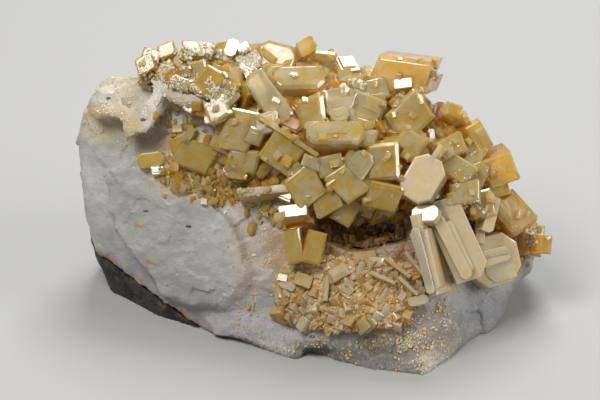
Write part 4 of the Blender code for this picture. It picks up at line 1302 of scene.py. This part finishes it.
@dataclass(frozen=True)
class WallRock:
    """Charcoal wall rock with fine sparkle and rusty spots; its near-black tones are partly painted shade on the
    wedge, which faces down.
    """

    name: str
    # Partly painted shade: these tones are darker than the rock, to darken the downward-facing wedge.
    dark: Colour = (0.009, 0.009, 0.01)
    light: Colour = (0.042, 0.041, 0.04)
    rust: Colour = (0.16, 0.075, 0.02)
    spark: Colour = (0.4, 0.4, 0.41)

    def make(self) -> bpy.types.Material:
        """Builds the material.

        Returns:
            The material.
        """
        recipe = Recipe(self.name)
        body = recipe.mix(recipe.ramp(recipe.noise(5.0, 5.0, 0.65), 0.4, 0.65), self.dark, self.light)
        body = recipe.mix(recipe.ramp(recipe.noise(2.6, 4.0), 0.58, 0.68, 0.0, 0.7), body, self.rust)
        sparkle = recipe.ramp(recipe.cells(0.9), 0.14, 0.05)
        body = recipe.mix(recipe.times(sparkle, 0.5), body, self.spark)
        normal = recipe.bump(recipe.noise(0.8, 5.0, 0.7), 0.5, 0.8)
        rough = recipe.math("MULTIPLY_ADD", sparkle, -0.4, 0.7)
        recipe.set(Base_Color=body, Roughness=rough, Normal=normal, IOR=1.54)
        return recipe.material


@dataclass(frozen=True)
class Sugar:
    """Sugary grains, from white through tan to orange."""

    name: str
    pale: Colour = (0.66, 0.62, 0.52)
    deep: Colour = (0.56, 0.37, 0.13)

    def make(self) -> bpy.types.Material:
        """Builds the material.

        Returns:
            The material.
        """
        recipe = Recipe(self.name)
        clouds = recipe.math("MULTIPLY_ADD", recipe.noise(4.0, 4.0, 0.6), 1.4, -0.7)
        share = recipe.math("ADD", recipe.attribute("tint"), clouds, clamp=True)
        normal = recipe.bump(recipe.noise(0.35, 2.0), 0.08, 0.5)
        rough = recipe.ramp(recipe.noise(0.7, 2.0), 0.35, 0.65, 0.4, 0.75)
        recipe.set(
            Base_Color=recipe.mix(share, self.pale, self.deep), Roughness=rough, Normal=normal, IOR=1.6,
            Subsurface_Weight=0.3, Subsurface_Radius=(1.0, 0.8, 0.5), Subsurface_Scale=0.001,
        )
        return recipe.material


def finish_piece(
    piece: Thing, finish: bpy.types.Material, slot: str, *nodes: str, smooth: float = 0.0,
) -> Thing:
    """Dresses a finished piece, and sets it to ride on the specimen in place of some CAD nodes.

    Args:
        piece: The piece, with its place in its mesh.
        finish: Its material.
        slot: The record's slot for it; not used.
        nodes: The CAD nodes that it stands for.
        smooth: The angle in degrees below which its edges are smooth, or 0 for flat faces.

    Returns:
        The piece.
    """
    piece.data.materials.clear()
    piece.data.materials.append(finish)
    Bench.pick(piece)
    if smooth:
        bpy.ops.object.shade_smooth_by_angle(angle=math.radians(smooth))
    else:
        bpy.ops.object.shade_flat()
    Bench.clear()
    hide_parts(*nodes)
    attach(piece, ROOT)
    LOG.info("%s: %d triangles", piece.name, Bench.triangles(piece))
    return piece


@dataclass
class Stone:
    """The vein quartz and its wall rock, broken out of a lode."""

    voxel: float = 0.62
    facets: BrokenSkin = BrokenSkin(7.0, 0.4, 0.28, 2.0)
    chips: BrokenSkin = BrokenSkin(2.2, 0.08, 0.06, 2.0)
    quartz: MilkyQuartz = MilkyQuartz("milky_quartz_finish")
    rock: WallRock = WallRock("wall_rock_finish")

    def skin(self, node: str, name: str) -> Thing:
        """Gives a CAD node's form a broken skin.

        Args:
            node: The CAD node.
            name: The new piece's name.

        Returns:
            The piece, not yet dressed.
        """
        piece = fine_copy(node, name, self.voxel)
        self.facets.lay(piece)
        self.chips.lay(piece)
        return piece

    def build(self) -> None:
        """Builds both pieces."""
        block = self.skin("quartz_matrix", "quartz_block")
        finish_piece(block, self.quartz.make(), "milky_quartz", "quartz_matrix", smooth=28.0)
        wedge = self.skin("wall_rock", "wall_rock_wedge")
        finish_piece(wedge, self.rock.make(), "dark_rock", "wall_rock", smooth=40.0)


@dataclass
class Beds:
    """The intergrown masses that carry the barite, by their corners in millimetres, and what rays from outside
    find of them."""

    cluster_corners: tuple[Place, ...] = CLUSTER_BED
    crest_corners: tuple[Place, ...] = CREST_BED
    back_corners: tuple[Place, ...] = BACK_BED
    druse_corners: tuple[Place, ...] = DRUSE_BED

    def __post_init__(self) -> None:
        """Models the beds as plain blocks and makes the trees that crystals are placed by."""
        self.stone = frame["nodes"]["quartz_matrix"]
        self.cluster = hull("cluster_block", [LAYOUT.at(*corner) for corner in self.cluster_corners])
        self.crest = hull("crest_block", [LAYOUT.at(*corner) for corner in self.crest_corners])
        self.back = hull("back_block", [LAYOUT.world(corner) for corner in self.back_corners])
        self.druse = hull("druse_block", [LAYOUT.at(*corner) for corner in self.druse_corners])
        self.stone_faces = len(self.stone.data.polygons)
        self.main_tree = tree_of(self.stone, self.cluster, self.crest, self.back)
        self.front_tree = tree_of(self.stone, self.cluster)
        self.stone_tree = tree_of(self.stone)
        self.druse_tree = tree_of(self.stone, self.druse)

    def on_bed(self, index: int) -> bool:
        """Says whether a ray met a bed and not the stone."""
        return index >= self.stone_faces

    def on_stone(self, index: int) -> bool:
        """Says whether a ray met the stone and not a bed."""
        return index < self.stone_faces

    def grown(self, name: str, blocks: tuple[Thing, ...], voxel: float, skin: BrokenSkin) -> Thing:
        """Models a bed that is seen: its blocks grown together, with the vug taken out and a broken skin.

        Args:
            name: The bed's name.
            blocks: Its blocks.
            voxel: Its faces' size in millimetres.
            skin: Its skin.

        Returns:
            The bed, not yet dressed.
        """
        piece = Bench.join(name, [Bench.twin(block, name) for block in blocks])
        Bench.apply(piece, "REMESH", mode="VOXEL", voxel_size=voxel * MM)
        vug = vug_block()
        Bench.apply(piece, "BOOLEAN", operation="DIFFERENCE", object=vug, solver="EXACT")
        Bench.drop(vug)
        skin.lay(piece)
        return piece

    def clear(self) -> None:
        """Removes the blocks when all crystals stand."""
        Bench.drop(self.cluster, self.crest, self.back, self.druse)


BARITE_TABLES = (
    ("barite_top", TOP_CRYSTALS), ("barite_middle", MIDDLE_CRYSTALS), ("barite_right", RIGHT_CRYSTALS),
    ("barite_crest", CREST_CRYSTALS),
)
# Where small crystals straggle over the stone: a patch's middle and reach on the layout, and its rays.
MARGINS = (
    ((-25.0, 8.5), (11.0, 6.5), 240),
    ((-19.0, 2.5), (9.0, 4.0), 130),
    ((-8.0, -4.0), (6.0, 4.0), 60),
    ((-29.0, 20.0), (8.0, 4.0), 70),
    ((56.0, -15.0), (4.0, 3.0), 24),
)
# The field of the front that small crystals are dropped on: its first corner, its width and its height.
FRONT_FIELD = ((-42, -18), (104, 60))


@dataclass
class BariteMass:
    """The honey-yellow barite from the left crest over the top to the right end."""

    beds: Beds
    maker: CrystalMaker
    honey: Barite = Barite("honey_barite_finish")
    bed: Bed = Bed("barite_bed_finish")
    bed_voxel: float = 0.9
    bed_skin: BrokenSkin = BrokenSkin(2.6, 0.5, 0.3)
    companions: float = 0.6
    small: tuple[Crystal, ...] = (
        plan(1.0, 0.84, 0.8, Habit.RHOMB), plan(1.0, 0.9, 0.9, Habit.BLOCK), plan(1.15, 0.7, 0.8, Habit.HEX),
        plan(1.0, 0.8, 0.7, Habit.LEAN), plan(1.1, 0.6, 0.9, Habit.BLADE),
    )
    small_bevel: float = 0.03
    front: Rain = Rain(2600, (3.0, 5.4), (0.7, 1.9))
    top: Rain = Rain(2200, (3.0, 5.4), (0.2, 0.8))
    back: Rain = Rain(1800, (3.0, 5.6), (0.2, 0.8))
    ends: Rain = Rain(900, (2.6, 4.8), (0.3, 0.8))
    second: Rain = Rain(90, (1.0, 2.2), (0.0, 0.6))
    margin: Rain = Rain(0, (1.0, 3.2), (0.2, 1.5), 0.15)

    def build(self) -> None:
        """Builds the bed, the large crystals and the small ones between them."""
        blocks = (self.beds.cluster, self.beds.crest, self.beds.back)
        bed = self.beds.grown("barite_bed", blocks, self.bed_voxel, self.bed_skin)
        finish_piece(bed, self.bed.make(), "honey_barite", "barite_cluster", smooth=30.0)
        finish = self.honey.make()
        large = []
        for name, table in BARITE_TABLES:
            more = [other for crystal in table for other in self.maker.companions(crystal, self.companions)]
            crystals = [self.maker.grow(crystal, self.beds.main_tree) for crystal in (*table, *more)]
            large.append(finish_piece(Bench.join(name, crystals), finish, "honey_barite", "barite_cluster"))
        swarm = Swarm(self.maker, self.small, 1, self.small_bevel)
        plans = (("barite_small", self.spots), ("barite_second", lambda: self.second_spots(tree_of(*large))),
                 ("barite_margin", self.margin_spots))
        for name, spots in plans:
            finish_piece(swarm.build(name, spots()), finish, "honey_barite", "barite_cluster")

    def spots(self) -> list[Spot]:
        """Finds the places of the small crystals: over the front, the top, the back and both ends.

        Returns:
            The places.
        """
        shower = Shower(self.beds.main_tree, self.beds.on_bed, 2.0, 41)
        spots = shower.fall(self.front, field_of(*FRONT_FIELD))
        above = field_of((-44, 4), (104, 40), lambda x, y: LAYOUT.world((x, y, 100)))
        spots += shower.fall(self.top, above, Vector((0, 0, -1)))
        behind = field_of((-44, 5), (104, 60), lambda x, z: LAYOUT.world((x, 90, z)))
        spots += shower.fall(self.back, behind, Vector((0, -1, 0)))
        for side in (-1, 1):
            aside = field_of((-30, 0), (74, 70), lambda y, z: LAYOUT.world((90 * side, y, z)))
            spots += shower.fall(self.ends, aside, Vector((-side, 0, 0)))
        return spots

    def second_spots(self, tree: BVHTree) -> list[Spot]:
        """Finds places for later, smaller crystals on the sides of the large ones.

        Args:
            tree: The large crystals' skins.

        Returns:
            The places.
        """
        shower = Shower(tree, lambda index: True, 2.6, 71, lean=0.35)
        spots = []
        for way in (LAYOUT.up - LAYOUT.out, -LAYOUT.up - LAYOUT.out, LAYOUT.right - LAYOUT.out * 0.6,
                    -LAYOUT.right - LAYOUT.out * 0.6):
            ray = way.normalized()
            start = field_of(*FRONT_FIELD, lambda x, y: LAYOUT.at(x, y, 12) - ray * LAYOUT.far * MM)
            spots += shower.fall(self.second, start, ray)
        return spots

    def margin_spots(self) -> list[Spot]:
        """Finds places for small crystals on the stone where the barite mass thins out over it.

        Returns:
            The places.
        """
        shower = Shower(self.beds.main_tree, self.beds.on_stone, 1.3, 83, lean=0.6, patch=5.0)
        spots = []
        for middle, reach, rays in MARGINS:
            spots += shower.fall(replace(self.margin, rays=rays), patch_of(middle, reach, even=False))
        return spots


@dataclass
class Group:
    """A few crystals grown together, apart from the main mass, the long ones with thin leaves on them."""

    name: str
    crystals: tuple[Crystal, ...]
    node: str
    slot: str
    finish: Barite
    leaves: int = 0
    cut: float = 1.0
    leafy: float = 12.5

    def build(self, maker: CrystalMaker, tree: BVHTree) -> None:
        """Builds the group.

        Args:
            maker: What models the crystals.
            tree: The skins that they stand on.
        """
        wide = [crystal for crystal in self.crystals if crystal.length > self.leafy]
        more = [leaf for crystal in wide for leaf in maker.leaves(crystal, self.leaves)]
        grown = [maker.grow(crystal, tree, self.cut) for crystal in (*self.crystals, *more)]
        finish_piece(Bench.join(self.name, grown), self.finish.make(), self.slot, self.node)


@dataclass
class Druse:
    """The sugary tan druse below the vug, with its small radiating plates, small crystals and grains."""

    beds: Beds
    maker: CrystalMaker
    # root sets how far the plates darken to amber towards their roots, as painted shade.
    plates: Barite = Barite(
        "druse_plate_finish", pale=(0.8, 0.7, 0.48), honey=(0.76, 0.55, 0.2), amber=(0.6, 0.28, 0.04),
        through=0.5, density=20.0, root=0.6,
    )
    grains: Sugar = Sugar("druse_grain_finish", pale=(0.66, 0.52, 0.28), deep=(0.52, 0.26, 0.04))
    bed: Bed = Bed("druse_bed_finish", pale=(0.5, 0.3, 0.1), deep=(0.3, 0.12, 0.02))
    bed_voxel: float = 0.7
    bed_skin: BrokenSkin = BrokenSkin(2.0, 0.6, 0.3)
    sunk: float = 0.62
    small: tuple[Crystal, ...] = (plan(1.0, 0.8, 0.9, Habit.BLOCK), plan(1.3, 0.6, 0.7, Habit.RHOMB))
    small_bevel: float = 0.03
    small_rain: Rain = Rain(700, (1.6, 3.6), (-0.2, 1.5), 0.2)
    tiny: tuple[Crystal, ...] = (plan(1.0, 0.8, 0.8, Habit.BLOCK), plan(1.4, 0.5, 0.7, Habit.RHOMB))
    grain_rain: Rain = Rain(7000, (0.4, 1.0), (0.0, 0.9), 0.15)
    edge_rain: Rain = Rain(2600, (0.3, 0.75), (0.1, 0.6), 0.3)
    edge_share: float = 0.5

    def build(self) -> None:
        """Builds the bed, the plates, the crystals and the grains."""
        bed = self.beds.grown("druse_bed", (self.beds.druse,), self.bed_voxel, self.bed_skin)
        finish_piece(bed, self.bed.make(), "tan_druse", "lower_druse", smooth=30.0)
        tree = self.beds.druse_tree
        plates = [
            self.maker.grow(replace(crystal, lift=crystal.lift * self.sunk), tree) for crystal in DRUSE_PLATES
        ]
        finish = self.plates.make()
        finish_piece(Bench.join("druse_plates", plates), finish, "tan_druse", "lower_druse")
        shower = Shower(tree, self.beds.on_bed, 1.7, 61, lean=0.9, patch=4.0)
        spots = shower.fall(self.small_rain, field_of((-10, -35), (44, 24)))
        piece = Swarm(self.maker, self.small, 0, self.small_bevel).build("druse_crystals", spots)
        finish_piece(piece, finish, "tan_druse", "lower_druse")
        piece = Swarm(self.maker, self.tiny).build("druse_grains", self.grain_spots(tree))
        finish_piece(piece, self.grains.make(), "tan_druse", "lower_druse")

    def grain_spots(self, tree: BVHTree) -> list[Spot]:
        """Finds the grains' places: close on the bed, and thinner on the stone around it.

        Args:
            tree: The skins of the stone and the bed.

        Returns:
            The places.
        """
        shower = Shower(tree, self.beds.on_bed, 0.62, 53, lean=1.2, patch=3.0)
        spots = shower.fall(self.grain_rain, field_of((-10, -36), (44, 24)))
        shower.wanted = lambda index: self.beds.on_stone(index) and shower.draw.random() < self.edge_share
        shower.apart = 0.5
        return spots + shower.fall(self.edge_rain, field_of((-17, -43), (56, 33)))


@dataclass(frozen=True)
class Coat:
    """A patch of sugary grains: its middle and reach on the layout, how many rays it gets, its grains' sizes and
    tints, and how much of it is bare."""

    middle: Pair
    reach: Pair
    rays: int
    sizes: Pair
    tints: Pair
    bare: float = -1.0


SUGAR_COATS = (
    Coat((-28.0, 27.0), (12.0, 4.5), 2600, (0.3, 0.8), (0.0, 0.25), -0.2),
    Coat((-12.6, 34.5), (3.4, 3.4), 420, (0.4, 0.8), (0.0, 0.15), -0.1),
    Coat((-25.6, 37.0), (6.0, 2.4), 260, (0.4, 1.0), (0.0, 0.4), -0.1),
    Coat((-34.0, 35.0), (8.0, 3.0), 260, (0.4, 0.9), (0.1, 0.6), 0.0),
    Coat((40.0, 7.0), (6.4, 9.0), 170, (0.3, 0.6), (0.1, 0.5), 0.1),
    Coat((14.0, 28.0), (4.0, 2.4), 110, (0.4, 0.8), (0.0, 0.4), 0.05),
    Coat((27.0, 26.5), (4.0, 2.4), 70, (0.4, 0.8), (0.0, 0.4), 0.1),
    Coat((46.0, 0.5), (2.6, 4.5), 110, (0.4, 1.0), (0.0, 0.2), 0.0),
    Coat((58.0, -9.0), (2.0, 2.5), 60, (0.4, 0.9), (0.0, 0.2)),
    Coat((-44.0, 24.0), (12.0, 10.0), 2600, (0.25, 0.7), (0.2, 0.7), 0.0),
    Coat((-36.0, 13.5), (12.0, 4.0), 1300, (0.25, 0.6), (0.1, 0.6), 0.0),
    Coat((-27.0, 4.0), (8.0, 3.5), 900, (0.25, 0.6), (0.2, 0.8), 0.0),
    Coat((-16.0, 0.0), (7.0, 3.5), 600, (0.3, 0.9), (0.2, 0.8), 0.0),
    Coat((-8.0, -12.0), (4.0, 5.0), 500, (0.25, 0.6), (0.3, 0.8), 0.0),
    Coat((32.0, -35.0), (8.0, 7.0), 900, (0.3, 0.8), (0.1, 0.6), 0.0),
    Coat((20.0, -32.0), (1.8, 1.4), 80, (0.4, 0.9), (1.0, 1.0)),
)


@dataclass
class SugarCoat:
    """The patches of white to ochre grains on the stone's top and on some crystals."""

    maker: CrystalMaker
    grains: Sugar = Sugar("sugar_grain_finish", deep=(0.5, 0.35, 0.13))
    tiny: tuple[Crystal, ...] = (plan(1.0, 0.8, 0.8, Habit.BLOCK), plan(1.3, 0.6, 0.8, Habit.RHOMB))
    sunk: float = 0.25
    gaps: float = 3.0

    def build(self, tree: BVHTree) -> None:
        """Builds the grains.

        Args:
            tree: The skins of the stone and of the crystals.
        """
        spots = []
        shower = Shower(tree, lambda index: True, 0.45, 67, lean=1.2, patch=2.0)
        for coat in SUGAR_COATS:
            rain = Rain(coat.rays, coat.sizes, coat.tints, self.sunk)
            found = shower.fall(rain, patch_of(coat.middle, coat.reach))
            spots += [spot for spot in found if noise.noise(spot.centre / (self.gaps * MM)) > coat.bare]
        piece = Swarm(self.maker, self.tiny).build("sugar_grains", spots)
        finish_piece(piece, self.grains.make(), "milky_quartz", "quartz_matrix")


@dataclass
class VugLining:
    """The brown crust inside the vug and its small dark crystals, whose dark browns are partly iron staining and
    partly painted shade deep in the vug.
    """

    maker: CrystalMaker
    # Partly painted shade: the crust's and the crystals' near-black browns darken the inside of the vug.
    crust: Bed = Bed("vug_crust_finish", pale=(0.3, 0.13, 0.02), deep=(0.1, 0.035, 0.005))
    crystals: Barite = Barite(
        "vug_crystal_finish", pale=(0.55, 0.33, 0.08), honey=(0.4, 0.19, 0.03), amber=(0.2, 0.07, 0.01),
        through=0.35,
    )
    voxel: float = 0.35
    skin: BrokenSkin = BrokenSkin(1.6, 0.2, 0.1)
    small: tuple[Crystal, ...] = (plan(0.6, 0.6, 1.5, Habit.BLOCK), plan(1.0, 0.7, 0.8, Habit.RHOMB))
    small_bevel: float = 0.02
    rain: Rain = Rain(900, (1.1, 2.4), (0.3, 1.0), 0.0)

    def build(self) -> None:
        """Builds the crust and its crystals."""
        piece = fine_copy("vug_crust", "vug_lining", self.voxel)
        self.skin.lay(piece)
        finish_piece(piece, self.crust.make(), "brown_crust", "vug_crust", smooth=30.0)
        tree = tree_of(frame["nodes"]["vug_crust"])
        shower = Shower(tree, lambda index: True, 1.3, 59, lean=0.9, patch=3.0)
        spots = shower.fall(self.rain, field_of((3, -14), (26, 15)))
        piece = Swarm(self.maker, self.small, 0, self.small_bevel).build("vug_crystals", spots)
        finish_piece(piece, self.crystals.make(), "brown_crust", "vug_crust")


@dataclass(frozen=True)
class Lamp:
    """A soft square light: its place and size in metres, its power in watts and its colour."""

    name: str
    place: Place
    size: float
    power: float
    tone: Colour

    def hang(self, aim: Vector) -> None:
        """Hangs the light.

        Args:
            aim: The place in metres that it faces.
        """
        light = bpy.data.lights.new(self.name, "AREA")
        light.shape = "SQUARE"
        light.size = self.size
        light.energy = self.power
        light.color = self.tone
        holder = bpy.data.objects.new(self.name, light)
        holder.location = self.place
        holder.rotation_euler = (aim - Vector(self.place)).to_track_quat("-Z", "Y").to_euler()
        bpy.context.scene.collection.objects.link(holder)


@dataclass
class Studio:
    """The pale floor, the soft lights and the camera, with lengths in metres."""

    aim: Place = LAYOUT.centre
    elevation: float = math.radians(30.0)
    distance: float = 1.0
    width: float = 0.15
    sensor: float = 36.0
    near: float = 0.01
    floor_size: float = 6.0
    floor_tone: Colour = (0.34, 0.34, 0.337)
    floor_roughness: float = 0.9
    air_tone: Colour = (0.9, 0.89, 0.87)
    air_strength: float = 0.22
    lamps: tuple[Lamp, ...] = (
        Lamp("key", (-0.28, -0.22, 0.68), 0.34, 5.2, (1.0, 0.98, 0.95)),
        Lamp("back", (0.05, 0.4, 0.58), 0.3, 4.4, (1.0, 1.0, 1.0)),
        Lamp("side", (0.6, -0.1, 0.3), 0.3, 2.6, (1.0, 0.99, 0.97)),
    )

    def build(self) -> None:
        """Sets up the studio."""
        self.lay_floor()
        world = bpy.data.worlds.new("studio_world")
        bpy.context.scene.world = world
        world.use_nodes = True
        air = world.node_tree.nodes["Background"]
        air.inputs["Color"].default_value = (*self.air_tone, 1.0)
        air.inputs["Strength"].default_value = self.air_strength
        for lamp in self.lamps:
            lamp.hang(Vector(self.aim) * MM)
        bpy.context.scene.view_settings.view_transform = "Standard"
        self.set_camera()

    def lay_floor(self) -> None:
        """Lays the floor under the specimen."""
        Bench.clear()
        bpy.ops.mesh.primitive_plane_add(size=self.floor_size)
        floor = bpy.context.object
        floor.name = "studio_floor"
        paper = Recipe("studio_paper")
        paper.set(Base_Color=self.floor_tone, Roughness=self.floor_roughness)
        floor.data.materials.append(paper.material)

    def set_camera(self) -> None:
        """Sets the camera at the photograph's viewing angle."""
        lens = bpy.data.cameras.new("camera")
        lens.sensor_width = self.sensor
        lens.lens = self.sensor * self.distance / self.width
        lens.clip_start = self.near
        camera = bpy.data.objects.new("camera", lens)
        away = Vector((0.0, -math.cos(self.elevation), math.sin(self.elevation)))
        camera.location = Vector(self.aim) * MM + away * self.distance
        camera.rotation_euler = (-away).to_track_quat("-Z", "Y").to_euler()
        bpy.context.scene.collection.objects.link(camera)
        bpy.context.scene.camera = camera


# root sets how far the cream crystals darken to amber towards their roots, as painted shade.
CREAM = Barite(
    "cream_barite_finish", pale=(0.84, 0.7, 0.47), honey=(0.84, 0.64, 0.3), through=0.4, density=15.0, root=0.35,
)
GOLD = Barite("golden_barite_finish", pale=(0.95, 0.78, 0.34), density=60.0)
SUGARED = ("quartz_block", "barite_top", "barite_middle", "barite_right", "barite_crest", "barite_small")


def main() -> None:
    """Builds the specimen, then its studio."""
    logging.basicConfig(level=logging.INFO, format="%(message)s")
    noise.seed_set(NOISE_SEED)
    maker = CrystalMaker()
    beds = Beds()
    Stone().build()
    BariteMass(beds, maker).build()
    groups = (
        (Group("pale_tongues", PALE_CRYSTALS, "pale_blades", "pale_barite", CREAM, 4, 0.25), beds.front_tree),
        (Group("golden_pair", COLUMN_CRYSTALS, "golden_columns", "honey_barite", GOLD), beds.front_tree),
        (Group("striated_tablet", PLATE_CRYSTALS, "striated_plate", "honey_barite", GOLD), beds.stone_tree),
        (Group("lens_crystal", LENS_CRYSTALS, "yellow_lens", "honey_barite", GOLD), beds.stone_tree),
    )
    for group, tree in groups:
        group.build(maker, tree)
    Druse(beds, maker).build()
    VugLining(maker).build()
    SugarCoat(maker).build(tree_of(*(bpy.data.objects[name] for name in SUGARED)))
    beds.clear()
    Studio().build()


if __name__ == "__main__":
    main()
